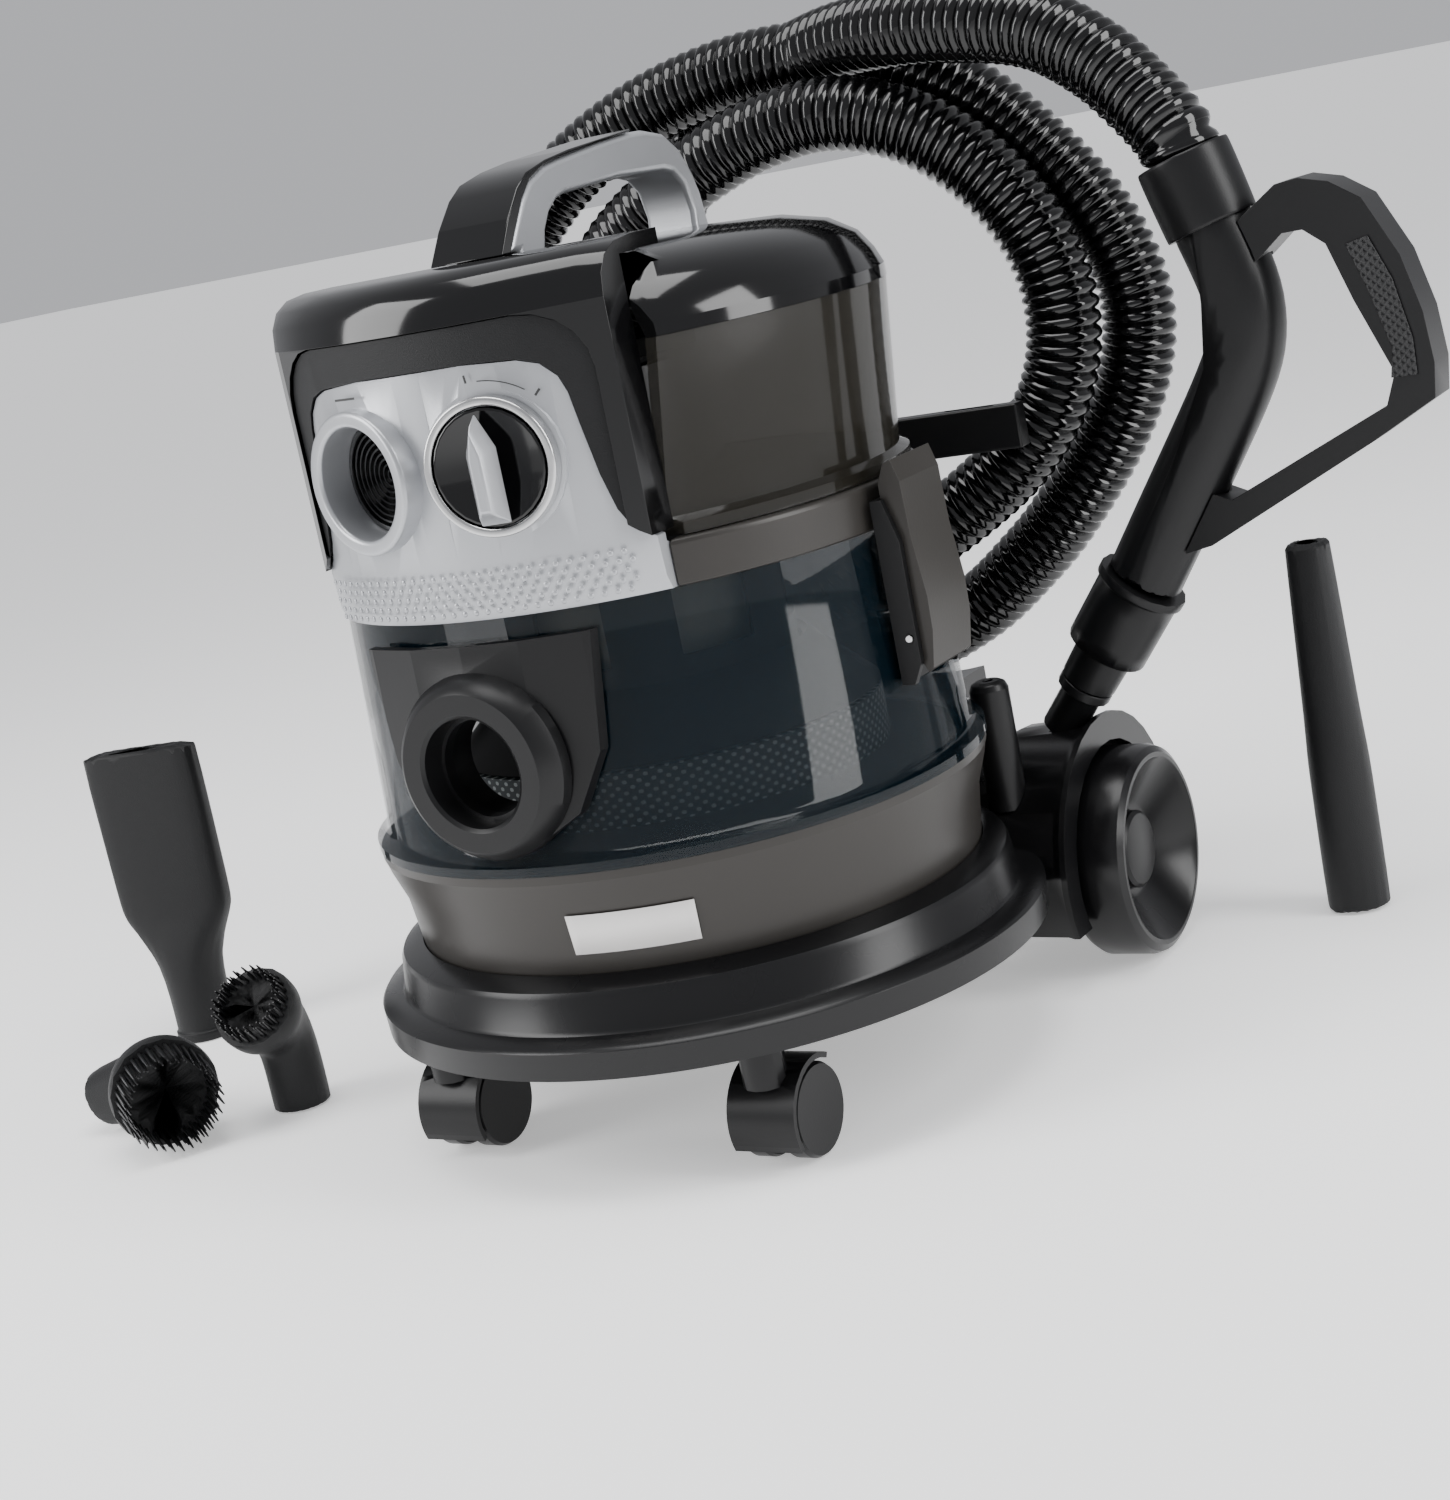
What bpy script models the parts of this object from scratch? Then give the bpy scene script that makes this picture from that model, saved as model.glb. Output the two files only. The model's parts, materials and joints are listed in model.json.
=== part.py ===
"""Canister vacuum with a blower outlet, for drying and cleaning cars: trolley, drum, motor head, hose, wand and nozzles.

Metres, +Z up. The origin is on the floor under the drum's axis, and -Y is the front, where the inlet and the controls are.
"""

import math

import bmesh
import bpy
from mathutils import Matrix, Vector

# Driving dimensions
GAP = 0.0003  # clearance between neighbours
SEGMENTS = 32  # sides of the large turned pieces
SMALL_SEGMENTS = 16

DRUM_R = 0.1655  # outside of the drum above its flange
DRUM_TOP_R = 0.1610
DRUM_TOP_Z = 0.3060
RIM_R = 0.1731  # the drum's flange on the pan's rim
RIM_Z = 0.1736
WALL = 0.0030

BASE_R = 0.1905
BASE_BOTTOM_Z = 0.0700
BASE_TOP_Z = 0.1165
PAN_FLOOR_Z = 0.0880
CRADLE_Z = 0.1465  # lowest point of the hose rest

WHEEL_R = 0.0625
WHEEL_Y = 0.1900
WHEEL_OUTER_X = 0.1975
WHEEL_INNER_X = 0.1585
AXLE_R = 0.0060

CASTOR_X = 0.1010
CASTOR_STEM_Y = -0.1300
CASTOR_TRAIL = 0.0160
CASTOR_R = 0.0250

RING_TOP_Z = 0.3300
RING_R = 0.1630
HEAD_Z = RING_TOP_Z + GAP
SHELL_TOP_Z = 0.4275
LID_TOP_Z = 0.4712
HOOD_TOP_Z = 0.4778
FRONT_HALF = 0.1035  # half the width of the hood and of the panel's band
FRONT_Y = -0.1158  # where the hood's sides meet the shell
ROOF_BACK_Y = -0.0790

PANEL_R = 0.1680
PANEL_TOP_Z = 0.4330
BAND_LOW_Z = 0.3066
BAND_TOP_Z = 0.3340
PORT_TURN = 13.6  # degrees from the front to the blower port at -X and to the knob at +X
PORT_Z = 0.3824
PORT_BORE_R = 0.0290
PORT_R = 0.0370

HANDLE_HALF = 0.0220  # half the width at the front leg
HANDLE_TAPER = 0.0270  # half width lost for each metre towards the back

INLET_Z = 0.2330
INLET_TOP_Z = 0.2960
INLET_BORE_R = 0.0255
INLET_FRONT_Y = -0.1850

LATCH_PIN_X = 0.1735
LATCH_PIN_Z = 0.2494

CAGE_LOW_Z = 0.2280

WAND_Y = 0.1900
WAND_R = 0.0225
HOSE_R = 0.0230
HOSE_STEP = 3 * HOSE_R  # spacing of the tube's points


# Materials and meshes


def material(name, colour, roughness, metallic=0.0, alpha=1.0):
    made = bpy.data.materials.get(name)
    if made:
        return made
    made = bpy.data.materials.new(name)
    made.use_nodes = True
    shader = made.node_tree.nodes["Principled BSDF"]
    shader.inputs["Base Color"].default_value = (*colour, 1.0)
    shader.inputs["Roughness"].default_value = roughness
    shader.inputs["Metallic"].default_value = metallic
    shader.inputs["Alpha"].default_value = alpha
    return made


def satin_black():
    return material("satin_black", (0.020, 0.020, 0.021), 0.42)


def gloss_black():
    return material("gloss_black", (0.010, 0.010, 0.011), 0.08)


def matte_black():
    return material("matte_black", (0.025, 0.026, 0.028), 0.55)


def warm_grey():
    return material("warm_grey", (0.060, 0.056, 0.054), 0.38)


def smoked_clear():
    return material("smoked_clear", (0.030, 0.065, 0.080), 0.05, alpha=0.5)


def silver():
    return material("silver", (0.62, 0.64, 0.66), 0.32, 0.35)


def steel():
    return material("steel", (0.60, 0.60, 0.60), 0.25, 1.0)


def finish(name, mesh, surface, pivot=(0.0, 0.0, 0.0)):
    """Makes the object, with its origin at pivot and every face pointing out."""
    pivot = Vector(pivot)
    bmesh.ops.remove_doubles(mesh, verts=mesh.verts, dist=1e-7)
    bmesh.ops.translate(mesh, verts=mesh.verts, vec=-pivot)
    bmesh.ops.recalc_face_normals(mesh, faces=mesh.faces)
    data = bpy.data.meshes.new(name)
    mesh.to_mesh(data)
    mesh.free()
    data.shade_smooth()
    data.set_sharp_from_angle(angle=math.radians(32))
    obj = bpy.data.objects.new(name, data)
    obj.location = pivot
    if surface:
        data.materials.append(surface)
    bpy.context.scene.collection.objects.link(obj)
    return obj


def bridge(mesh, lower, upper):
    """Joins two rings of vertices, either of which may be a single pole."""
    count = max(len(lower), len(upper))
    for i in range(count):
        j = (i + 1) % count
        corners = [lower[i % len(lower)], lower[j % len(lower)], upper[j % len(upper)], upper[i % len(upper)]]
        unique = list(dict.fromkeys(corners))
        if len(unique) > 2:
            mesh.faces.new(unique)


def on_axis(axis, radius, height, angle, centre):
    c, s = radius * math.cos(angle), radius * math.sin(angle)
    offset = {"X": (height, c, s), "Y": (c, height, s), "Z": (c, s, height)}[axis]
    return Vector(centre) + Vector(offset)


def turned(name, profile, surface, axis="Z", centre=(0.0, 0.0, 0.0), segments=SEGMENTS, pivot=(0.0, 0.0, 0.0)):
    """Turns a closed profile of (radius, height) about an axis through centre."""
    mesh = bmesh.new()
    rings = []
    for radius, height in profile:
        steps = 1 if radius == 0 else segments
        angles = [2 * math.pi * i / steps for i in range(steps)]
        rings.append([mesh.verts.new(on_axis(axis, radius, height, a, centre)) for a in angles])
    for ring, after in zip(rings, rings[1:] + rings[:1]):
        if len(ring) + len(after) > 2:
            bridge(mesh, ring, after)
    return finish(name, mesh, surface, pivot)


def prism(name, outline, axis, low, high, surface, pivot=(0.0, 0.0, 0.0)):
    """Extrudes an outline in the plane across axis, from low to high along it."""
    mesh = bmesh.new()

    def corner(a, b, level):
        return {"X": (level, a, b), "Y": (a, level, b), "Z": (a, b, level)}[axis]

    rings = [[mesh.verts.new(corner(a, b, level)) for a, b in outline] for level in (low, high)]
    bridge(mesh, *rings)
    mesh.faces.new(rings[0])
    mesh.faces.new(rings[1])
    return finish(name, mesh, surface, pivot)


def box(name, low, high, surface=None):
    outline = [(low[0], low[1]), (high[0], low[1]), (high[0], high[1]), (low[0], high[1])]
    return prism(name, outline, "Z", low[2], high[2], surface)


def stacked(name, sections, surface, pivot=(0.0, 0.0, 0.0)):
    """Skins a stack of outlines that have the same number of points, and closes both ends."""
    mesh = bmesh.new()
    rings = [[mesh.verts.new(point) for point in section] for section in sections]
    for ring, after in zip(rings, rings[1:]):
        bridge(mesh, ring, after)
    mesh.faces.new(rings[0])
    mesh.faces.new(rings[-1])
    return finish(name, mesh, surface, pivot)


def frame_at(direction, side):
    """Two unit vectors across direction, the first as near side as it can be."""
    along = Vector(direction).normalized()
    first = (Vector(side) - along * along.dot(Vector(side))).normalized()
    return first, along.cross(first)


def rounded_section(centre, direction, side, half_width, half_height, segments, power=1.0):
    """An ellipse, or with power under 1 a rounded rectangle, across direction."""
    first, second = frame_at(direction, side)
    points = []
    for i in range(segments):
        angle = 2 * math.pi * (i + 0.5) / segments
        c, s = math.cos(angle), math.sin(angle)
        a = half_width * math.copysign(abs(c) ** power, c)
        b = half_height * math.copysign(abs(s) ** power, s)
        points.append(Vector(centre) + first * a + second * b)
    return points


def duct(name, stations, surface, side=(0.0, 1.0, 0.0), segments=SMALL_SEGMENTS, pivot=(0.0, 0.0, 0.0)):
    """An open tube through stations of (centre, half width, half height, wall, power)."""
    mesh = bmesh.new()
    centres = [Vector(station[0]) for station in stations]
    outer, inner = [], []
    for i, (centre, half_width, half_height, wall, power) in enumerate(stations):
        direction = centres[min(i + 1, len(centres) - 1)] - centres[max(i - 1, 0)]
        for rings, inset in ((outer, 0.0), (inner, wall)):
            section = rounded_section(
                centre, direction, side, half_width - inset, half_height - inset, segments, power
            )
            rings.append([mesh.verts.new(point) for point in section])
    for rings in (outer, inner):
        for ring, after in zip(rings, rings[1:]):
            bridge(mesh, ring, after)
    bridge(mesh, outer[0], inner[0])
    bridge(mesh, outer[-1], inner[-1])
    return finish(name, mesh, surface, pivot)


def rod(name, start, end, radius, surface=None, segments=SMALL_SEGMENTS):
    along = Vector(end) - Vector(start)
    side = (0.0, 1.0, 0.0) if abs(along.normalized().y) < 0.9 else (1.0, 0.0, 0.0)
    sections = [rounded_section(p, along, side, radius, radius, segments) for p in (start, end)]
    return stacked(name, sections, surface)


def combine(obj, *tools, operation="DIFFERENCE"):
    """Applies each tool to the object as a Boolean, and hides the tool."""
    for tool in tools:
        tool.hide_render = True
        tool.display_type = "WIRE"
        modifier = obj.modifiers.new(tool.name, "BOOLEAN")
        modifier.operation = operation
        modifier.object = tool
        modifier.solver = "EXACT"
    return obj


def tilted(obj, turn, pivot=(0.0, 0.0, 0.0)):
    """Turns a piece modelled on the front by an angle in degrees about the drum's axis, with its origin at pivot."""
    swing = Matrix.Rotation(math.radians(turn), 4, "Z")
    origin = swing @ Vector(pivot)
    obj.data.transform(Matrix.Translation(-origin) @ swing)
    obj.location = origin
    return obj


def arc(radius, start, end, steps, centre=(0.0, 0.0)):
    """Points on an arc, in degrees, both ends included."""
    angles = [math.radians(start + (end - start) * i / steps) for i in range(steps + 1)]
    return [(centre[0] + radius * math.cos(a), centre[1] + radius * math.sin(a)) for a in angles]


def curve_through(points, spacing):
    """Points at an even spacing on the smooth curve through the given ones."""
    knots = [Vector(p) for p in points]
    knots = [knots[0] * 2 - knots[1]] + knots + [knots[-1] * 2 - knots[-2]]
    fine = []
    per_span = 24
    for p0, p1, p2, p3 in zip(knots, knots[1:], knots[2:], knots[3:]):
        for i in range(per_span):
            t = i / per_span
            fine.append(
                0.5 * (2 * p1 + (p2 - p0) * t + (2 * p0 - 5 * p1 + 4 * p2 - p3) * t**2 + (3 * p1 - p0 - 3 * p2 + p3) * t**3)
            )
    fine.append(knots[-2])
    lengths = [0.0]
    for a, b in zip(fine, fine[1:]):
        lengths.append(lengths[-1] + (b - a).length)
    count = max(2, math.ceil(lengths[-1] / spacing))
    even, k = [], 0
    for i in range(count + 1):
        target = lengths[-1] * i / count
        while k < len(fine) - 2 and lengths[k + 1] < target:
            k += 1
        share = (target - lengths[k]) / (lengths[k + 1] - lengths[k])
        even.append(fine[k].lerp(fine[k + 1], share))
    return even


# Trolley


def pan_space(name, clearance):
    """The space that the pan and the drum take, widened by clearance."""
    profile = [
        (0.0, PAN_FLOOR_Z),
        (0.1500 + clearance, PAN_FLOOR_Z),
        (0.1575 + clearance, 0.0932),
        (0.1604 + clearance, BASE_TOP_Z),
        (0.1640 + clearance, 0.1450),
        (RIM_R + 0.0030, RIM_Z - 0.0140),
        (RIM_R + 0.0030, 0.2500),
        (0.0, 0.2500),
    ]
    return turned(name, profile, None)


def wheel_housing(side):
    """The barrel over each rear wheel, its lip standing out round the wheel."""
    profile = [
        (0.0, 0.1000),
        (0.0700, 0.1000),
        (0.0780, 0.1200),
        (0.0805, 0.1640),
        (0.0835, 0.1690),
        (0.0835, 0.1725),
        (0.0, 0.1725),
    ]
    barrel = turned(f"housing_shape_{side}", [(r, side * x) for r, x in profile], None, "X", (0.0, WHEEL_Y, WHEEL_R))
    low, high = sorted((side * 0.09, side * 0.18))
    return combine(barrel, box(f"housing_foot_{side}", (low, 0.05, -0.10), (high, 0.30, 0.0340)))


def cradle_shape():
    """The arm behind the trolley, hollowed on top to the hose coil's curve."""
    half, top, dip = 0.0350, CRADLE_Z + 0.0030, 0.2050
    hollow = arc(dip, 270 + 9.8, 270 - 9.8, 6, (0.0, CRADLE_Z + dip))
    outline = [(-half, 0.0850), (half, 0.0850), (half, top)] + hollow[1:-1] + [(-half, top)]
    return prism("cradle_shape", outline, "Y", 0.1500, 0.3240, None)


def base_trolley():
    profile = [
        (0.0, 0.0800),
        (0.1780, 0.0800),
        (0.1795, BASE_BOTTOM_Z),
        (BASE_R, BASE_BOTTOM_Z),
        (BASE_R + 0.0007, 0.0850),
        (BASE_R - 0.0010, 0.0870),
        (0.1785, 0.0895),
        (0.1770, 0.0915),
        (0.1750, 0.1085),
        (0.1735, 0.1115),
        (0.1615, BASE_TOP_Z),
        (0.0, BASE_TOP_Z),
    ]
    base = turned("base_trolley", profile, satin_black())
    combine(base, wheel_housing(1), wheel_housing(-1), cradle_shape(), operation="UNION")
    combine(base, pan_space("pan_pocket", 0.0008))
    for side in (1, -1):
        low, high = side * 0.1560, side * 0.2100
        combine(base, rod(f"arch_{side}", (low, WHEEL_Y, WHEEL_R), (high, WHEEL_Y, WHEEL_R), WHEEL_R + 0.0040, segments=28))
        low, high = (side * CASTOR_X, CASTOR_STEM_Y, 0.0700), (side * CASTOR_X, CASTOR_STEM_Y, 0.1000)
        combine(base, rod(f"socket_{side}", low, high, 0.0056, segments=12))
    combine(base, rod("axle_hole", (-0.19, WHEEL_Y, WHEEL_R), (0.19, WHEEL_Y, WHEEL_R), AXLE_R + 0.0006, segments=12))
    combine(base, rod("peg_socket", (*PEG_XY, PEG_LOW_Z - 0.0003), (*PEG_XY, 0.2000), PEG_R + 0.0005))
    combine(base, rod("wand_peg_socket", wand_peg_at(-0.0360), wand_peg_at(0.0100), 0.0130))
    return base


PEG_XY = (0.1310, 0.1350)
PEG_R = 0.0115
PEG_LOW_Z = 0.1080
PEG_TOP_Z = 0.1850
TIP_END = Vector((0.1683, WAND_Y, 0.1668))
TIP_DIRECTION = Vector((0.616, 0.0, 0.788))


def wand_peg_at(distance):
    """A point on the parked wand's axis, measured up from its open end."""
    return tuple(TIP_END + TIP_DIRECTION * distance)


def tool_peg():
    x, y = PEG_XY
    profile = [
        (0.0, PEG_LOW_Z),
        (PEG_R, PEG_LOW_Z),
        (PEG_R, PEG_TOP_Z - 0.0050),
        (PEG_R - 0.0015, PEG_TOP_Z - 0.0015),
        (PEG_R - 0.0045, PEG_TOP_Z),
        (0.0030, PEG_TOP_Z),
        (0.0030, PEG_TOP_Z - 0.0060),
        (0.0, PEG_TOP_Z - 0.0060),
    ]
    return turned("tool_peg", profile, satin_black(), centre=(x, y, 0.0), segments=SMALL_SEGMENTS)


def wand_peg():
    """A tilted peg with a shoulder, which the parked wand stands on."""
    levels = [(-0.0350, 0.0125), (-0.0070, 0.0125), (-0.0065, 0.0165), (-0.0005, 0.0165), (0.0, 0.0125)]
    levels += [(0.0260, 0.0120), (0.0290, 0.0090)]
    sections = []
    for distance, radius in levels:
        sections.append(
            rounded_section(wand_peg_at(distance), TIP_DIRECTION, (0.0, 1.0, 0.0), radius, radius, SMALL_SEGMENTS)
        )
    return stacked("wand_peg", sections, satin_black())


def rear_axle():
    half = WHEEL_OUTER_X - 0.0205
    return rod("rear_axle", (-half, WHEEL_Y, WHEEL_R), (half, WHEEL_Y, WHEEL_R), AXLE_R, steel(), 12)


def rear_wheel(name, side):
    bore = AXLE_R + 0.0004
    hub_x = WHEEL_OUTER_X - 0.0195
    profile = [
        (bore, WHEEL_INNER_X),
        (WHEEL_R - 0.0085, WHEEL_INNER_X),
        (WHEEL_R - 0.0027, WHEEL_INNER_X + 0.0025),
        (WHEEL_R, WHEEL_INNER_X + 0.0070),
        (WHEEL_R, WHEEL_OUTER_X - 0.0070),
        (WHEEL_R - 0.0016, WHEEL_OUTER_X - 0.0025),
        (WHEEL_R - 0.0054, WHEEL_OUTER_X),
        (WHEEL_R - 0.0081, WHEEL_OUTER_X),
        (WHEEL_R - 0.0108, WHEEL_OUTER_X - 0.0030),
        (0.0290, hub_x + 0.0015),
        (0.0250, hub_x),
        (bore, hub_x),
    ]
    profile = [(r, side * x) for r, x in profile]
    centre = (0.0, WHEEL_Y, WHEEL_R)
    return turned(name, profile, gloss_black(), "X", centre, 28, (side * WHEEL_INNER_X, WHEEL_Y, WHEEL_R))


def hub_cap(name, side):
    low = WHEEL_OUTER_X - 0.0192
    profile = [(0.0, low), (0.0232, low), (0.0232, low + 0.0040), (0.0210, low + 0.0060), (0.0, low + 0.0070)]
    profile = [(r, side * x) for r, x in profile]
    centre = (0.0, WHEEL_Y, WHEEL_R)
    return turned(name, profile, gloss_black(), "X", centre, SMALL_SEGMENTS, (side * low, WHEEL_Y, WHEEL_R))


def castor_axle(side):
    return (side * CASTOR_X, CASTOR_STEM_Y + CASTOR_TRAIL, CASTOR_R)


def castor_fork(name, side):
    """The hood over both wheels, the web between them, and the stem that turns in the trolley."""
    x, y, z = castor_axle(side)
    inner, outer = CASTOR_R + 0.0018, CASTOR_R + 0.0048
    hood = arc(outer, 60, 205, 10, (y, z))
    hood += arc(inner, 205, 60, 10, (y, z))
    fork = prism(name, hood, "X", x - 0.0200, x + 0.0200, satin_black(), (x, CASTOR_STEM_Y, z))
    web = arc(outer - 0.0008, 62, 203, 8, (y, z)) + [(y - 0.0080, z - 0.0110), (y + 0.0080, z - 0.0110)]
    stem = turned(
        f"{name}_stem_shape",
        [(0.0, 0.0460), (0.0120, 0.0460), (0.0120, 0.0790), (0.0052, 0.0790), (0.0052, 0.0980), (0.0, 0.0980)],
        None,
        centre=(x, CASTOR_STEM_Y, 0.0),
        segments=12,
    )
    combine(fork, prism(f"{name}_web_shape", web, "X", x - 0.0044, x + 0.0044, None), stem, operation="UNION")
    combine(fork, rod(f"{name}_hole", (x - 0.01, y, z), (x + 0.01, y, z), 0.0054, segments=12))
    # The stem's collar stops at the hood, clear of the wheels.
    clear = [(0.0, 0.0049), (inner, 0.0049), (inner, 0.0194), (0.0, 0.0194)]
    for hand in (1, -1):
        space = [(r, hand * h) for r, h in clear]
        combine(fork, turned(f"{name}_clear_{hand}", space, None, "X", (x, y, z), SMALL_SEGMENTS))
    return fork


def castor_wheels(name, side):
    """Twin wheels on one hub."""
    half = [(0.0050, 0.0), (0.0050, 0.0052), (0.0238, 0.0052), (CASTOR_R, 0.0075), (CASTOR_R, 0.0165)]
    half += [(0.0236, 0.0190), (0.0, 0.0190)]
    profile = [(r, -h) for r, h in reversed(half[1:])] + half[1:]
    profile.insert(len(half) - 1, half[0])
    centre = castor_axle(side)
    return turned(name, profile, satin_black(), "X", centre, SMALL_SEGMENTS, centre)


# Drum


def lower_pan():
    outer = [
        (0.0, PAN_FLOOR_Z + GAP),
        (0.1500, PAN_FLOOR_Z + GAP),
        (0.1575, 0.0934),
        (0.1604, BASE_TOP_Z),
        (0.1640, 0.1450),
        (0.1700, 0.1620),
        (0.1712, 0.1667),
        (RIM_R - 0.0010, 0.1690),
        (RIM_R - 0.0010, RIM_Z),
    ]
    inner = [(0.1675, RIM_Z), (0.1660, 0.1620), (0.1608, 0.1450), (0.1573, BASE_TOP_Z), (0.1540, 0.0960), (0.0, 0.0915)]
    return turned("lower_pan", outer + inner, warm_grey())


def drum_clear():
    low = RIM_Z + GAP
    profile = [
        (0.1625, low),
        (RIM_R, low),
        (RIM_R, low + 0.0051),
        (DRUM_R + 0.0030, low + 0.0075),
        (DRUM_R, low + 0.0105),
        (DRUM_TOP_R, DRUM_TOP_Z),
        (DRUM_TOP_R - WALL, DRUM_TOP_Z),
        (DRUM_R - WALL, low + 0.0105),
    ]
    drum = turned("drum_clear", profile, smoked_clear())
    return combine(drum, rod("inlet_hole", (0.0, -0.2, INLET_Z), (0.0, -0.13, INLET_Z), INLET_BORE_R + 0.0034))


def inlet_port():
    """A shield on the drum's front with a tapered collar round the suction bore."""
    face = DRUM_R + 0.0090
    ring = [(DRUM_R + 0.0006, 0.1880), (face, 0.1880), (face - 0.0025, INLET_TOP_Z), (DRUM_R + 0.0006, INLET_TOP_Z)]
    port = turned("inlet_port", ring, satin_black())
    shield = [(-0.0700, INLET_TOP_Z - 0.0005), (-0.0640, 0.2350), (-0.0480, 0.2050), (-0.0220, 0.1900)]
    shield += [(-x, z) for x, z in reversed(shield)]
    combine(port, prism("shield_shape", shield, "Y", -0.2, -0.1, None), operation="INTERSECT")
    collar = [
        (INLET_BORE_R - 0.0005, -0.1480),
        (INLET_BORE_R + 0.0027, -0.1480),
        (INLET_BORE_R + 0.0027, -0.1680),
        (0.0495, -0.1680),
        (0.0490, -0.1745),
        (0.0440, -0.1830),
        (0.0415, INLET_FRONT_Y),
        (0.0310, INLET_FRONT_Y),
        (0.0290, -0.1835),
    ]
    combine(port, turned("collar_shape", collar, None, "Y", (0.0, 0.0, INLET_Z), 28), operation="UNION")
    bore = rod("inlet_bore", (0.0, -0.21, INLET_Z), (0.0, -0.14, INLET_Z), INLET_BORE_R, segments=28)
    return combine(port, bore)


def drum_ring():
    """The collar on the drum's top edge, open at the front where the control panel comes down."""
    profile = [
        (0.1520, DRUM_TOP_Z + GAP),
        (RING_R - 0.0005, DRUM_TOP_Z + GAP),
        (RING_R, RING_TOP_Z - 0.0020),
        (RING_R - 0.0015, RING_TOP_Z),
        (0.1520, RING_TOP_Z),
    ]
    ring = turned("drum_ring", profile, warm_grey())
    reach = FRONT_HALF + 0.0005
    return combine(ring, box("panel_space", (-reach, -0.2000, 0.2900), (reach, -0.1000, 0.3400)))


def tool_bracket():
    """The bar behind the head, with a strap slot near each end."""
    front, back = 0.1664, 0.0120
    half, low, high = 0.1520, 0.3090, 0.3350
    outline = [(-half, 0.1900), (-0.0220, 0.1780), (-0.0220, front), (0.0220, front), (0.0220, 0.1780), (half, 0.1900)]
    outline += [(half, 0.1900 + back), (0.0, 0.1780 + back), (-half, 0.1900 + back)]
    bar = prism("tool_bracket", outline, "Z", low, high, satin_black())
    for side in (1, -1):
        x = side * 0.1200
        slot = box(f"slot_{side}", (x - 0.0150, 0.1915, low - 0.01), (x + 0.0150, 0.1965, high + 0.01))
        combine(bar, slot)
    return bar


def latch_bracket(name, side):
    """The channel on the drum that holds the lever's pin."""
    outline = [(0.1645, 0.2250), (0.1720, 0.2250), (0.1775, 0.2360), (0.1775, 0.3000), (0.1710, 0.3220), (0.1645, 0.3220)]
    outline = [(side * x, z) for x, z in outline]
    bracket = prism(name, outline, "Y", -0.0272, 0.0272, satin_black())
    x = sorted((side * 0.1668, side * 0.2000))
    combine(bracket, box(f"{name}_channel", (x[0], -0.0232, 0.20), (x[1], 0.0232, 0.34)))
    pin = (side * LATCH_PIN_X, LATCH_PIN_Z)
    return combine(bracket, rod(f"{name}_hole", (pin[0], -0.03, pin[1]), (pin[0], 0.03, pin[1]), 0.0024, segments=12))


def latch_pin(name, side):
    x = side * LATCH_PIN_X
    return rod(name, (x, -0.0285, LATCH_PIN_Z), (x, 0.0285, LATCH_PIN_Z), 0.0020, steel(), 12)


def latch_lever(name, side):
    outline = [
        (0.1735, 0.3400),
        (0.1780, 0.3415),
        (0.1815, 0.3300),
        (0.1822, 0.3000),
        (0.1855, 0.2700),
        (0.1852, 0.2520),
        (0.1820, 0.2320),
        (0.1790, 0.2300),
        (0.1745, 0.2390),
        (0.1688, 0.2450),
        (0.1682, 0.2550),
        (0.1690, 0.3300),
    ]
    outline = [(side * x, z) for x, z in outline]
    pin = (side * LATCH_PIN_X, 0.0, LATCH_PIN_Z)
    lever = prism(name, outline, "Y", -0.0228, 0.0228, warm_grey(), pin)
    return combine(lever, rod(f"{name}_hole", (pin[0], -0.03, pin[2]), (pin[0], 0.03, pin[2]), 0.0024, segments=12))


# Motor head


def head_base():
    """The plate that carries the motor above and the filter below."""
    profile = [(0.0440, HEAD_Z), (0.1500, HEAD_Z), (0.1500, HEAD_Z + 0.0087), (0.0440, HEAD_Z + 0.0087)]
    base = turned("head_base", profile, satin_black())
    return combine(base, box("base_front", (-0.2, -0.2, 0.30), (0.2, FRONT_Y + 0.0040, 0.36)))


def head_shell():
    low = HEAD_Z + 0.0003
    profile = [
        (0.1515, low),
        (0.1590, low),
        (0.1590, low + 0.0060),
        (0.1540, low + 0.0090),
        (0.1626, SHELL_TOP_Z),
        (0.1586, SHELL_TOP_Z),
        (0.1510, low + 0.0100),
    ]
    shell = turned("head_shell", profile, gloss_black())
    return combine(shell, box("shell_front", (-0.2, -0.2, 0.30), (0.2, FRONT_Y + 0.0004, 0.45)))


def head_lid():
    low = SHELL_TOP_Z + GAP
    outer = [(0.1631, low), (0.1628, low + 0.0065), (0.1590, 0.4430), (0.1520, 0.4530), (0.1380, 0.4620)]
    outer += [(0.1150, 0.4680), (0.0800, 0.4705), (0.0, LID_TOP_Z)]
    inner = [(0.0, LID_TOP_Z - WALL), (0.0790, 0.4675), (0.1140, 0.4650), (0.1360, 0.4592), (0.1495, 0.4506)]
    inner += [(0.1560, 0.4415), (0.1590, low)]
    lid = turned("head_lid", outer + inner, gloss_black())
    combine(lid, box("lid_front", (-0.2, -0.2, 0.40), (0.2, FRONT_Y + 0.0004, 0.49)))
    reach = FRONT_HALF + 0.0004
    combine(lid, box("roof_space", (-reach, -0.2, 0.40), (reach, ROOF_BACK_Y + 0.0004, 0.49)))
    return combine(lid, box("leg_pocket", (-0.0170, 0.0995, 0.44), (0.0170, 0.1215, 0.49)))


def arch_outline(half, crown, foot, corner=0.0320):
    """A round-shouldered arch standing on foot."""
    shoulder = arc(corner, 0, 90, 5, (half - corner, crown - corner))
    return [(half, foot)] + shoulder + [(-x, z) for x, z in reversed(shoulder)] + [(-half, foot)]


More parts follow.
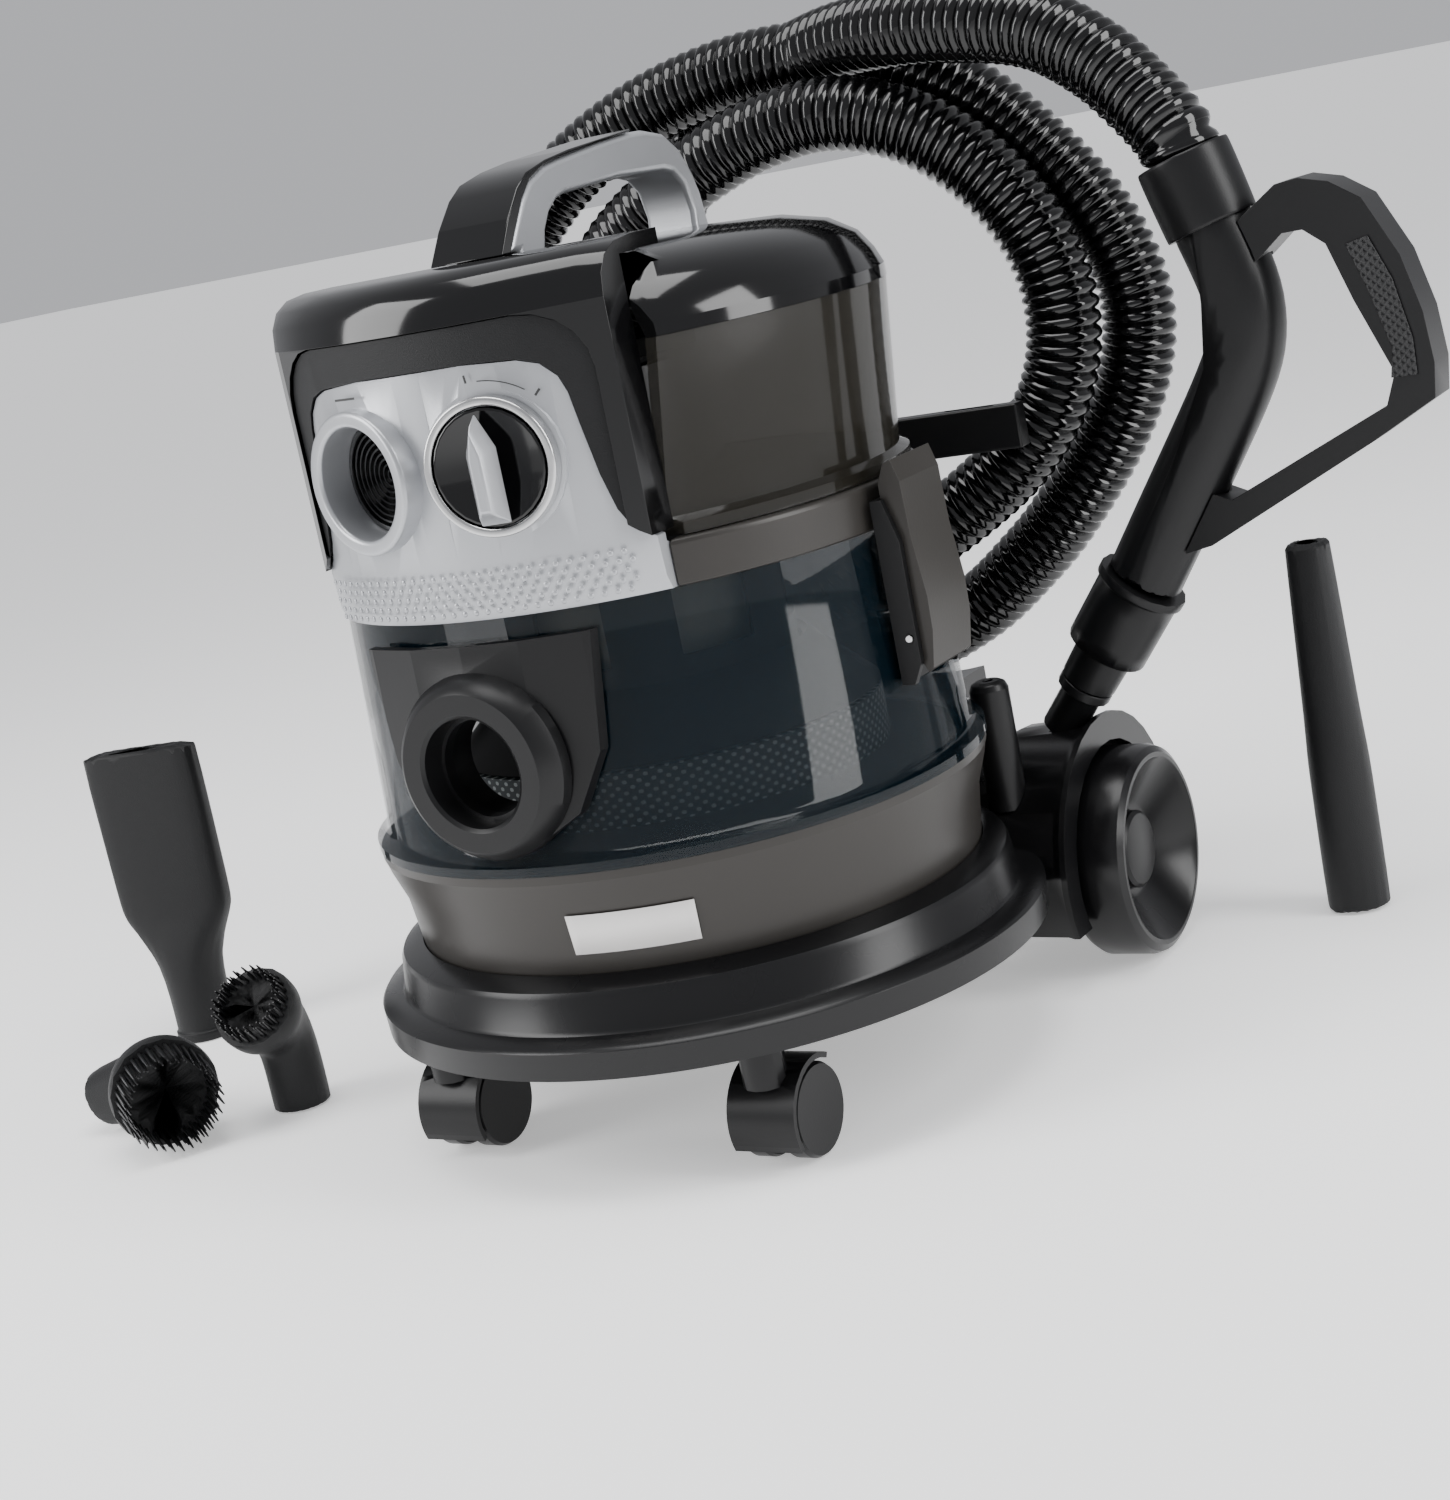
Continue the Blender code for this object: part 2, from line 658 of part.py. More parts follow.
def panel_outline(extra=0.0):
    """The face above the fold, which flares at its foot, and the band below it."""
    right = [(0.0985, 0.3381), (0.0945, 0.3422), (0.0904, 0.3503), (0.0860, 0.3686), (0.0821, 0.3941)]
    right += [(0.0798, 0.4108), (0.0770, 0.4190), (0.0700, 0.4265), (0.0600, 0.4300), (0.0328, PANEL_TOP_Z - 0.0008)]
    right = [(FRONT_HALF, BAND_LOW_Z), (FRONT_HALF, BAND_TOP_Z)] + right
    right = [(x + extra, z + extra) for x, z in right]
    return right + [(-x, z) for x, z in reversed(right)]


def front_hood():
    """The deep arch over the control panel, with a round brow and a flat roof."""
    foot = BAND_TOP_Z + 0.0006
    brow = [(0.1720, 0.4520), (0.1705, 0.4630), (0.1660, 0.4710), (0.1580, 0.4760), (0.1460, HOOD_TOP_Z)]
    profile = [(0.1520, foot), (0.1720, foot)] + brow + [(0.0600, HOOD_TOP_Z), (0.0600, 0.4700), (0.1440, 0.4700)]
    profile += [(0.1520, 0.4600)]
    hood = turned("front_hood", profile, gloss_black())
    half = FRONT_HALF
    sides = prism("hood_sides", [(-half, foot - 0.01), (half, foot - 0.01), (half, 0.5), (-half, 0.5)], "Y", -0.2, ROOF_BACK_Y, None)
    combine(hood, sides, operation="INTERSECT")
    combine(hood, box("hood_back", (-0.2, FRONT_Y, 0.30), (0.2, 0.0, 0.4695)))
    combine(hood, prism("hood_opening", arch_outline(0.0952, 0.4519, 0.30), "Y", -0.2, -0.1, None))
    return combine(hood, prism("hood_foot", panel_outline(0.0006), "Y", -0.2, -0.1, None))


def inlay_trim():
    """The textured band between the hood and the panel."""
    low, high = BAND_TOP_Z + 0.0006, 0.4600
    trim = turned("inlay_trim", [(0.1600, low), (0.1700, low), (0.1700, high), (0.1600, high)], matte_black())
    combine(trim, prism("trim_shape", arch_outline(0.0948, 0.4515, 0.30), "Y", -0.2, -0.1, None), operation="INTERSECT")
    return combine(trim, prism("trim_opening", panel_outline(0.0006), "Y", -0.2, -0.1, None))


def control_panel():
    """The curved face with the port and the knob, on a band that stands out a little above the drum."""
    profile = [
        (0.1570, BAND_LOW_Z),
        (0.1640, BAND_LOW_Z),
        (0.1668, BAND_LOW_Z + 0.0070),
        (PANEL_R, BAND_TOP_Z),
        (PANEL_R, PANEL_TOP_Z + 0.0010),
        (PANEL_R - 0.0060, PANEL_TOP_Z + 0.0010),
        (PANEL_R - 0.0060, BAND_TOP_Z - 0.0040),
        (0.1570, BAND_TOP_Z - 0.0070),
    ]
    panel = turned("control_panel", profile, silver(), segments=2 * SEGMENTS)
    combine(panel, prism("panel_shape", panel_outline(), "Y", -0.2, -0.1, None), operation="INTERSECT")
    for name, turn, radius in (("port", -PORT_TURN, PORT_R - 0.0015), ("knob", PORT_TURN, 0.0050)):
        seat = rod(f"{name}_seat", (0.0, -PANEL_R + 0.0005, PORT_Z), (0.0, -PANEL_R + 0.0045, PORT_Z), PORT_R, segments=28)
        combine(panel, tilted(seat, turn), operation="UNION")
        hole = rod(f"{name}_hole", (0.0, -0.2, PORT_Z), (0.0, -0.13, PORT_Z), radius, segments=28)
        combine(panel, tilted(hole, turn))
    return panel


def blower_collar():
    """The outlet's rim, with a sleeve through the panel."""
    face = -PANEL_R - 0.0003
    profile = [
        (PORT_BORE_R, face - 0.0060),
        (PORT_BORE_R + 0.0015, face - 0.0080),
        (PORT_R - 0.0015, face - 0.0080),
        (PORT_R, face - 0.0065),
        (PORT_R, face),
        (PORT_R - 0.0020, face),
        (PORT_R - 0.0020, face + 0.0220),
        (PORT_BORE_R, face + 0.0220),
    ]
    return tilted(turned("blower_collar", profile, silver(), "Y", (0.0, 0.0, PORT_Z), 28), -PORT_TURN)


def blower_grille():
    """Concentric steps at the back of the outlet."""
    back = -PANEL_R + 0.0100
    profile = [(0.0, back), (0.0050, back)]
    for i in range(3):
        radius = 0.0080 + 0.0065 * i
        profile += [(radius, back + 0.0025 + 0.0015 * i), (radius + 0.0030, back + 0.0015 + 0.0015 * i)]
    edge = PORT_BORE_R - GAP
    profile += [(edge, back + 0.0070), (edge, back + 0.0110), (0.0, back + 0.0090)]
    return tilted(turned("blower_grille", profile, satin_black(), "Y", (0.0, 0.0, PORT_Z), 28), -PORT_TURN)


def knob_ring():
    face = -PANEL_R - 0.0003
    profile = [(0.0300, face - 0.0075), (0.0330, face - 0.0080), (0.0345, face - 0.0065), (0.0345, face), (0.0300, face)]
    return tilted(turned("knob_ring", profile, steel(), "Y", (0.0, 0.0, PORT_Z), 28), PORT_TURN)


def knob_dial():
    """The dished face on a short shaft through the panel."""
    face = -PANEL_R
    profile = [
        (0.0, face - 0.0040),
        (0.0160, face - 0.0045),
        (0.0285, face - 0.0080),
        (0.0295, face - 0.0070),
        (0.0295, face - 0.0006),
        (0.0044, face - 0.0006),
        (0.0044, face + 0.0140),
        (0.0, face + 0.0140),
    ]
    dial = turned("knob_dial", profile, gloss_black(), "Y", (0.0, 0.0, PORT_Z), 28)
    return tilted(dial, PORT_TURN, (0.0, face, PORT_Z))


def knob_pointer():
    """The wedge grip across the dial, pointing up at OFF."""
    foot, crest = -PANEL_R - 0.0083, -PANEL_R - 0.0210
    half_foot, half_crest, reach = 0.0080, 0.0035, 0.0280
    outline = [(-half_foot, foot), (half_foot, foot), (half_crest, crest), (-half_crest, crest)]
    pointer = prism("knob_pointer", outline, "Z", PORT_Z - reach, PORT_Z + reach, silver())
    return tilted(pointer, PORT_TURN, (0.0, -PANEL_R, PORT_Z))


def narrowed(obj):
    """Narrows the handle evenly from its front leg to its rear leg."""
    for vertex in obj.data.vertices:
        vertex.co.x *= HANDLE_HALF - HANDLE_TAPER * (vertex.co.y + 0.09)
    return obj


def handle_top():
    """The handle's outer line from the front foot to the rear end of the cover."""
    line = [(-0.0890, HOOD_TOP_Z + 0.0005), (-0.0801, 0.4891), (-0.0686, 0.5029), (-0.0579, 0.5119), (-0.0418, 0.5179)]
    return line + [(-0.0269, 0.5200), (0.0137, 0.5243), (0.0500, 0.5268)]


def carry_handle():
    outline = handle_top() + [(0.0650, 0.5268), (0.0860, 0.5230), (0.1010, 0.5130), (0.1100, 0.5000)]
    outline += [(0.1150, 0.4880), (0.1205, 0.4560), (0.1005, 0.4560), (0.1035, 0.4780), (0.0990, 0.4930)]
    outline += [(0.0900, 0.5010), (0.0800, 0.5035), (0.0313, 0.5044), (-0.0262, 0.5017), (-0.0344, 0.5000)]
    outline += [(-0.0443, 0.4939), (-0.0512, 0.4855), (-0.0560, LID_TOP_Z + 0.0005)]
    outline += [(ROOF_BACK_Y + 0.0005, LID_TOP_Z + 0.0005), (ROOF_BACK_Y + 0.0005, HOOD_TOP_Z + 0.0005)]
    return narrowed(prism("carry_handle", outline, "X", -1.0, 1.0, silver()))


def handle_cover():
    """The gloss cap on the handle's front and top."""
    under = [(y - 0.0003, z + 0.0004) for y, z in handle_top()]
    over = [(0.0500, 0.5285), (-0.0157, 0.5236), (-0.0405, 0.5205), (-0.0602, 0.5160), (-0.0715, 0.5092)]
    over += [(-0.0854, 0.4953), (-0.0979, HOOD_TOP_Z + 0.0005)]
    under[0] = (-0.0893, HOOD_TOP_Z + 0.0005)
    return narrowed(prism("handle_cover", under + over, "X", -1.03, 1.03, gloss_black()))


def motor_field():
    low = HEAD_Z + 0.0090
    profile = [(0.0440, low), (0.0600, low), (0.0600, 0.4080), (0.0400, 0.4080), (0.0400, low + 0.0040)]
    return turned("motor_field", profile, steel(), segments=SMALL_SEGMENTS)


def motor_rotor():
    low = HEAD_Z + 0.0027
    profile = [(0.0, low), (0.0040, low), (0.0040, 0.3530), (0.0340, 0.3530), (0.0340, 0.3980), (0.0040, 0.3980)]
    profile += [(0.0040, 0.4330), (0.0, 0.4330)]
    return turned("motor_rotor", profile, steel(), segments=SMALL_SEGMENTS, pivot=(0.0, 0.0, low))


def fan_wheel():
    low = 0.4120
    profile = [(0.0044, low), (0.0560, low), (0.0560, low + 0.010), (0.0150, low + 0.014), (0.0044, low + 0.018)]
    return turned("fan_wheel", profile, satin_black(), segments=SMALL_SEGMENTS, pivot=(0.0, 0.0, low))


def cyclone_skirt():
    profile = [(0.0820, 0.2430), (0.1180, 0.2110), (0.1205, 0.2125), (0.0850, 0.2460)]
    return turned("cyclone_skirt", profile, satin_black(), segments=28)


def filter_cage():
    """The cup that hangs under the head's plate, with windows round its wall."""
    low, high = CAGE_LOW_Z, HEAD_Z - GAP
    profile = [(0.0048, low), (0.0800, low), (0.0800, high), (0.0770, high), (0.0770, low + 0.003), (0.0048, low + 0.003)]
    cage = turned("filter_cage", profile, satin_black(), segments=24)
    for i in range(3):
        turn = Matrix.Rotation(math.radians(60 * i + 30), 4, "Z")
        window = box(f"cage_window_{i}", (-0.1, -0.0220, low + 0.029), (0.1, 0.0220, high - 0.017))
        window.data.transform(turn)
        combine(cage, window)
    return cage


def filter_cartridge():
    low, high = CAGE_LOW_Z + 0.0040, HEAD_Z - 0.0013
    profile = [(0.0420, low), (0.0680, low), (0.0680, high), (0.0420, high)]
    return turned("filter_cartridge", profile, matte_black(), segments=SMALL_SEGMENTS)


def filter_bolt():
    low, head = CAGE_LOW_Z - 0.0190, HEAD_Z - 0.0070
    profile = [(0.0, low), (0.0042, low), (0.0042, head - 0.002), (0.0090, head), (0.0090, head + 0.005), (0.0, head + 0.005)]
    return turned("filter_bolt", profile, steel(), segments=12)


def filter_nut():
    low, high = CAGE_LOW_Z - 0.0150, CAGE_LOW_Z - 0.0005
    profile = [(0.0046, low), (0.0090, low), (0.0110, low + 0.008), (0.0110, high), (0.0046, high)]
    nut = turned("filter_nut", profile, satin_black(), segments=16, pivot=(0.0, 0.0, low))
    wings = [(0.0070, low + 0.002), (0.0220, low - 0.004), (0.0240, low), (0.0100, low + 0.012)]
    for side in (1, -1):
        outline = [(side * x, z) for x, z in wings]
        combine(nut, prism(f"wing_shape_{side}", outline, "Y", -0.0020, 0.0020, None), operation="UNION")
    return nut


# Hose and wand

CUFF_LOW = (0.2859, 0.4172)
WAND_LINE = [(0.2848, 0.4212), (0.2925, 0.3980), (0.2985, 0.3760), (0.2960, 0.3500), (0.2790, 0.3210)]
WAND_LINE += [(0.2575, 0.2890), (0.2350, 0.2560)]
HOSE_ROUTE = [
    (0.2745, 0.1900, 0.4570),
    (0.2711, 0.1900, 0.4690),
    (0.2560, 0.1940, 0.4890),
    (0.2290, 0.2020, 0.5160),
    (0.1920, 0.2120, 0.5388),
    (0.1450, 0.2220, 0.5508),
    (0.0950, 0.2350, 0.5565),
    (0.0450, 0.2520, 0.5570),
    (-0.0050, 0.2700, 0.5480),
    (-0.0550, 0.2880, 0.5290),
    (-0.1050, 0.3050, 0.4980),
    (-0.1480, 0.3200, 0.4530),
    (-0.1740, 0.3300, 0.3970),
    (-0.1810, 0.3360, 0.3350),
    (-0.1700, 0.3360, 0.2720),
    (-0.1400, 0.3300, 0.2200),
    (-0.0950, 0.3180, 0.1870),
    (-0.0450, 0.3060, 0.1738),
    (0.0050, 0.2950, 0.1755),
    (0.0600, 0.2860, 0.1975),
    (0.1000, 0.2820, 0.2250),
    (0.1300, 0.2800, 0.2510),
    (0.1678, 0.2790, 0.2942),
    (0.1920, 0.2780, 0.3350),
    (0.2000, 0.2770, 0.3780),
    (0.1870, 0.2750, 0.4250),
    (0.1560, 0.2720, 0.4714),
    (0.1130, 0.2680, 0.5150),
    (0.0600, 0.2640, 0.5450),
    (0.0080, 0.2600, 0.5527),
    (-0.0450, 0.2580, 0.5510),
    (-0.1040, 0.2540, 0.5380),
    (-0.1600, 0.2460, 0.5110),
    (-0.2020, 0.2360, 0.4700),
    (-0.2260, 0.2260, 0.4180),
    (-0.2290, 0.2200, 0.3600),
    (-0.2140, 0.2180, 0.3050),
    (-0.1840, 0.2200, 0.2570),
    (-0.1420, 0.2240, 0.2230),
    (-0.0920, 0.2290, 0.2080),
    (-0.0400, 0.2310, 0.2110),
    (0.0100, 0.2310, 0.2300),
    (0.0540, 0.2310, 0.2530),
    (0.0920, 0.2310, 0.2730),
    (0.1306, 0.2300, 0.2990),
    (0.1610, 0.2290, 0.3345),
    (0.1735, 0.2280, 0.3770),
    (0.1668, 0.2270, 0.4222),
    (0.1400, 0.2260, 0.4660),
    (0.0990, 0.2240, 0.5000),
    (0.0500, 0.2220, 0.5163),
    (0.0000, 0.2210, 0.5130),
    (-0.0447, 0.2220, 0.5000),
    (-0.0852, 0.2230, 0.4820),
    (-0.1240, 0.2260, 0.4570),
    (-0.1550, 0.2330, 0.4200),
    (-0.1740, 0.2450, 0.3740),
    (-0.1840, 0.2620, 0.3200),
    (-0.1910, 0.2800, 0.2640),
    (-0.1960, 0.2960, 0.2100),
    (-0.1890, 0.3040, 0.1500),
    (-0.1570, 0.3060, 0.0920),
    (-0.1080, 0.3060, 0.0510),
    (-0.0480, 0.3060, 0.0292),
    (-0.0160, 0.3060, 0.0262),
    (0.0200, 0.3060, 0.0262),
]
CONNECTOR_LENGTH = 0.0750


def wand_point(x, z):
    return (x, WAND_Y, z)


def hose_tube():
    points = [Vector(HOSE_ROUTE[0])] + curve_through(HOSE_ROUTE[1:], HOSE_STEP)
    data = bpy.data.curves.new("hose_tube", "CURVE")
    data.dimensions = "3D"
    data.bevel_depth = HOSE_R
    data.bevel_resolution = 3
    data.use_fill_caps = True
    spline = data.splines.new("POLY")
    spline.points.add(len(points) - 1)
    for spline_point, point in zip(spline.points, points):
        spline_point.co = (*point, 1.0)
    data.materials.append(gloss_black())
    tube = bpy.data.objects.new("hose_tube", data)
    bpy.context.scene.collection.objects.link(tube)
    return tube


def hose_connector():
    """The fitting that pushes into the inlet, lying on the floor behind the trolley."""
    x, y, z = HOSE_ROUTE[-1]
    levels = [(GAP, 0.0262), (0.0300, 0.0262), (0.0310, 0.0240), (CONNECTOR_LENGTH, 0.0225)]
    stations = [((x + along, y, z), radius, radius, 0.0028, 1.0) for along, radius in levels]
    return duct("hose_connector", stations, satin_black())


def hose_cuff():
    top = Vector(HOSE_ROUTE[0])
    low = Vector(wand_point(*CUFF_LOW))
    top += (low - top).normalized() * GAP
    stations = []
    for share, radius in ((0.0, 0.0265), (0.05, 0.0272), (0.95, 0.0266), (1.0, 0.0262)):
        stations.append((top.lerp(low, share), radius, radius, 0.0030, 1.0))
    return duct("hose_cuff", stations, satin_black())


def wand_line():
    points = [wand_point(x, z) for x, z in WAND_LINE] + [wand_peg_at(0.0738)]
    return curve_through(points, 0.026)


def wand_tube():
    stations = [(point, WAND_R, WAND_R, 0.0025, 1.0) for point in wand_line()]
    return duct("wand_tube", stations, satin_black())


def wand_ring():
    """The flange and the sleeve at the wand's lower end."""
    levels = [(0.0735, 0.0275), (0.0680, 0.0275), (0.0675, 0.0252), (0.0240, 0.0248)]
    stations = [(wand_peg_at(distance), radius, radius, 0.0030, 1.0) for distance, radius in levels]
    return duct("wand_ring", stations, satin_black())


def wand_tip():
    levels = [(0.0650, 0.0210), (0.0300, 0.0190), (0.0230, 0.0178), (GAP, 0.0172)]
    stations = [(wand_peg_at(distance), radius, radius, 0.0022, 1.0) for distance, radius in levels]
    return duct("wand_tip", stations, satin_black())


def wand_handle():
    """The closed loop grip: a curved grip and a straight strut back to the tube."""
    outer = [(0.3000, 0.4150), (0.3278, 0.4339), (0.3407, 0.4353), (0.3568, 0.4310), (0.3731, 0.4198)]
    outer += [(0.3892, 0.3878), (0.3972, 0.3570), (0.3998, 0.3295), (0.3978, 0.3107), (0.3620, 0.2914)]
    outer += [(0.2630, 0.2433), (0.2470, 0.2400), (0.2380, 0.2560)]
    inner = [(0.2600, 0.2760), (0.2780, 0.2677), (0.3246, 0.2885), (0.3716, 0.3097), (0.3781, 0.3269)]
    inner += [(0.3616, 0.3675), (0.3508, 0.3990), (0.3395, 0.4081), (0.3281, 0.4079), (0.3151, 0.3976), (0.2980, 0.3850)]
    handle = prism("wand_handle", outer + inner, "Y", WAND_Y - 0.0140, WAND_Y + 0.0140, satin_black())
    space = wand_line()
    line = [space[0] + (space[0] - space[1]) * 1.2] + space + [space[-1] + (space[-1] - space[-2]) * 1.2]
    sections = []
    for i, point in enumerate(line):
        direction = line[min(i + 1, len(line) - 1)] - line[max(i - 1, 0)]
        sections.append(
            rounded_section(point, direction, (0.0, 1.0, 0.0), WAND_R + 0.0005, WAND_R + 0.0005, SMALL_SEGMENTS)
        )
    combine(handle, stacked("wand_space", sections, None))
    return combine(handle, rod("cuff_space", wand_point(*CUFF_LOW), HOSE_ROUTE[0], 0.0278))


def grip_pad():
    """The textured insert on the grip's side."""
    outline = [(0.3617, 0.3973), (0.3740, 0.4000), (0.3840, 0.3760), (0.3905, 0.3440), (0.3905, 0.3243)]
    outline += [(0.3763, 0.3243), (0.3790, 0.3400), (0.3705, 0.3716)]
    front = WAND_Y - 0.0140 - GAP
    return prism("grip_pad", outline, "Y", front - 0.0012, front, matte_black())


# Nozzles, which stand or lie on the floor beside the machine

WIDE_AT = (-0.4500, 0.0400)
CREVICE_AT = (0.2874, 0.2601)
BRUSHES = {
    "short": {
        "at": (-0.2750, -0.0700, 0.0),
        "along": (0.0, 0.0, 1.0),
        "bent": (0.25, -1.0, 1.0),
        "side": (1.0, 0.0, 0.0),
        "reach": 0.045,
        "neck": 0.0180,
        "head": 0.0265,
        "bristle": 0.012,
    },
    "long": {
        "at": (-0.3950, -0.1100, 0.0184),
        "along": (0.9403, 0.0, 0.3403),
        "bent": (0.80, -0.60, 0.0),
        "side": (0.0, 0.0, 1.0),
        "reach": 0.045,
        "neck": 0.0192,
        "head": 0.0335,
        "bristle": 0.030,
    },
}


def wide_nozzle():
    """A flat paddle on a round socket, standing on the socket."""
    x, y = WIDE_AT
    table = [
        (0.0, 0.0215, 0.0215, 1.0),
        (0.0060, 0.0215, 0.0215, 1.0),
        (0.0070, 0.0202, 0.0202, 1.0),
        (0.0550, 0.0200, 0.0200, 1.0),
        (0.0850, 0.0380, 0.0130, 0.6),
        (0.0950, 0.0400, 0.0115, 0.5),
        (0.2020, 0.0410, 0.0105, 0.5),
    ]
    stations = [((x, y, up), w, h, 0.0022, power) for up, w, h, power in table]
    return duct("wide_nozzle", stations, matte_black(), side=(1.0, 0.3, 0.0), pivot=(x, y, 0.0))


def crevice_tool():
    """A round socket that runs up into a flat tip, standing on the socket."""
    x, y = CREVICE_AT
    table = [
        (0.0, 0.0190, 0.0190, 1.0),
        (0.0900, 0.0188, 0.0188, 1.0),
        (0.1100, 0.0165, 0.0165, 0.8),
        (0.2240, 0.0120, 0.0130, 0.6),
    ]
    stations = [((x, y, up), w, h, 0.0022, power) for up, w, h, power in table]
    return duct("crevice_tool", stations, matte_black(), side=(1.0, 0.0, 0.0), pivot=(x, y, 0.0))


def brush(kind):
    """A brush: its body and the ring of bristles in its mouth."""
    shape = BRUSHES[kind]
    start, along, bent = Vector(shape["at"]), Vector(shape["along"]), Vector(shape["bent"]).normalized()
    neck, head, bristle = shape["neck"], shape["head"], shape["bristle"]
    knee = start + along * shape["reach"]
    stations = [
        (start, neck, neck, 0.0022, 1.0),
        (start.lerp(knee, 0.75), neck, neck, 0.0022, 1.0),
        (knee + bent * 0.006, neck + 0.001, neck + 0.001, 0.0022, 1.0),
        (knee + bent * 0.022, head - 0.004, head - 0.004, 0.0022, 1.0),
        (knee + bent * 0.028, head, head, 0.0022, 1.0),
        (knee + bent * 0.042, head, head, 0.0022, 1.0),
    ]
    duct(f"brush_{kind}", stations, matte_black(), side=shape["side"], pivot=start)
    ring = head - 0.0026
    levels = [(0.0345, ring), (0.0420, ring), (0.0420 + bristle, ring - 0.0010)]
    stations = [(knee + bent * d, r, r, 0.0065, 1.0) for d, r in levels]
    duct(f"brush_{kind}_bristles", stations, satin_black(), side=shape["side"], pivot=start)


# Assembly


def clear_scene():
    for obj in list(bpy.data.objects):
        bpy.data.objects.remove(obj, do_unlink=True)


def build():
    clear_scene()
    base_trolley()
    tool_peg()
    wand_peg()
    rear_axle()
    for hand, side in (("right", 1), ("left", -1)):
        rear_wheel(f"rear_wheel_{hand}", side)
        hub_cap(f"hub_cap_{hand}", side)
        castor_fork(f"castor_fork_{hand}", side)
        castor_wheels(f"castor_wheels_{hand}", side)
        latch_bracket(f"latch_bracket_{hand}", side)
        latch_pin(f"latch_pin_{hand}", side)
        latch_lever(f"latch_lever_{hand}", side)
    for make in (lower_pan, drum_clear, inlet_port, drum_ring, tool_bracket):
        make()
    for make in (head_base, head_shell, head_lid, front_hood, inlay_trim, control_panel):
        make()
    for make in (blower_collar, blower_grille, knob_ring, knob_dial, knob_pointer, carry_handle, handle_cover):
        make()
    for make in (motor_field, motor_rotor, fan_wheel, cyclone_skirt, filter_cage, filter_cartridge):
        make()
    for make in (filter_bolt, filter_nut, hose_tube, hose_connector, hose_cuff, wand_tube, wand_ring, wand_tip):
        make()
    for make in (wand_handle, grip_pad, wide_nozzle, crevice_tool):
        make()
    brush("short")
    brush("long")


build()
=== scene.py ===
import json
import math

import bmesh
import bpy
from mathutils import Matrix, Vector


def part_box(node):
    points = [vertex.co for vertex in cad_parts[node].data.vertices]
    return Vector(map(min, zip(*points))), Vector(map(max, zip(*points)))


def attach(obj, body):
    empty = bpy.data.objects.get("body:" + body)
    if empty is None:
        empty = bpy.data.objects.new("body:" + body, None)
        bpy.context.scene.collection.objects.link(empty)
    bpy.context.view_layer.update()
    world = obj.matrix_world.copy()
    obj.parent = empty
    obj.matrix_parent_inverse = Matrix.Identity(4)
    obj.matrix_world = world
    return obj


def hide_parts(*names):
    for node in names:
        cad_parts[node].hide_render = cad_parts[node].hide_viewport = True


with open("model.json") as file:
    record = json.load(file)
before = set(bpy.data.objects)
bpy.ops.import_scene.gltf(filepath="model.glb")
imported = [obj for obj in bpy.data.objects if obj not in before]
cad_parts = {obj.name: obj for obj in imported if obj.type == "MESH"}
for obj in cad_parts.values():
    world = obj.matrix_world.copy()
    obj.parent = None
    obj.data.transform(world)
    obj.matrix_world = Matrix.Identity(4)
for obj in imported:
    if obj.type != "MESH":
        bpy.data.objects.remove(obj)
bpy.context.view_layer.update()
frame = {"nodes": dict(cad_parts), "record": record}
bodyOf = {}
for bodyName, members in frame["record"]["behaviour"]["bodies"].items():
    for member in members:
        bodyOf[member] = bodyName


# Camera, floor and lights

cameraLook = {
    "azimuth": 34.0,
    "elevation": 10.185,
    "roll": 11.605,
    "distance": 1.449,
    "target": (0.0, 0.0, 0.25),
    "offCentre": (-0.0268, 0.0394),  # where the target sits, as tangents right of and above the lens axis
    "lens": 62.4,
}


def placeCamera():
    azimuth = math.radians(cameraLook["azimuth"])
    elevation = math.radians(cameraLook["elevation"])
    flat = math.cos(elevation)
    back = Vector((math.sin(azimuth) * flat, -math.cos(azimuth) * flat, math.sin(elevation)))
    right = Vector((math.cos(azimuth), math.sin(azimuth), 0.0))
    up = back.cross(right)
    turned = Matrix((right, up, back)).transposed()
    turned = turned @ Matrix.Rotation(-math.radians(cameraLook["roll"]), 3, "Z")
    aside = Vector((*cameraLook["offCentre"], -1.0)).normalized()
    turned = turned @ Vector((0.0, 0.0, -1.0)).rotation_difference(aside).to_matrix().transposed()
    data = bpy.data.cameras.new("camera")
    data.lens = cameraLook["lens"]
    camera = bpy.data.objects.new("camera", data)
    place = Vector(cameraLook["target"]) + back * cameraLook["distance"]
    camera.matrix_world = Matrix.Translation(place) @ turned.to_4x4()
    bpy.context.scene.collection.objects.link(camera)
    bpy.context.scene.camera = camera


stageLook = {
    "floorHalf": 40.0,
    "floorDrop": 0.0005,  # keeps the floor just under the wheels
    "floorPaint": (0.95, 0.95, 0.95),
    "floorGlow": 0.45,
    "sky": (0.95, 0.96, 1.0),
    "skyStrength": 0.55,
    "lightTarget": (0.0, 0.0, 0.28),
}


def softLight(name, place, size, power):
    data = bpy.data.lights.new(name, "AREA")
    data.shape = "RECTANGLE"
    data.size, data.size_y = size
    data.energy = power
    light = bpy.data.objects.new(name, data)
    light.location = place
    aim = Vector(stageLook["lightTarget"]) - Vector(place)
    light.rotation_euler = aim.to_track_quat("-Z", "Y").to_euler()
    bpy.context.scene.collection.objects.link(light)


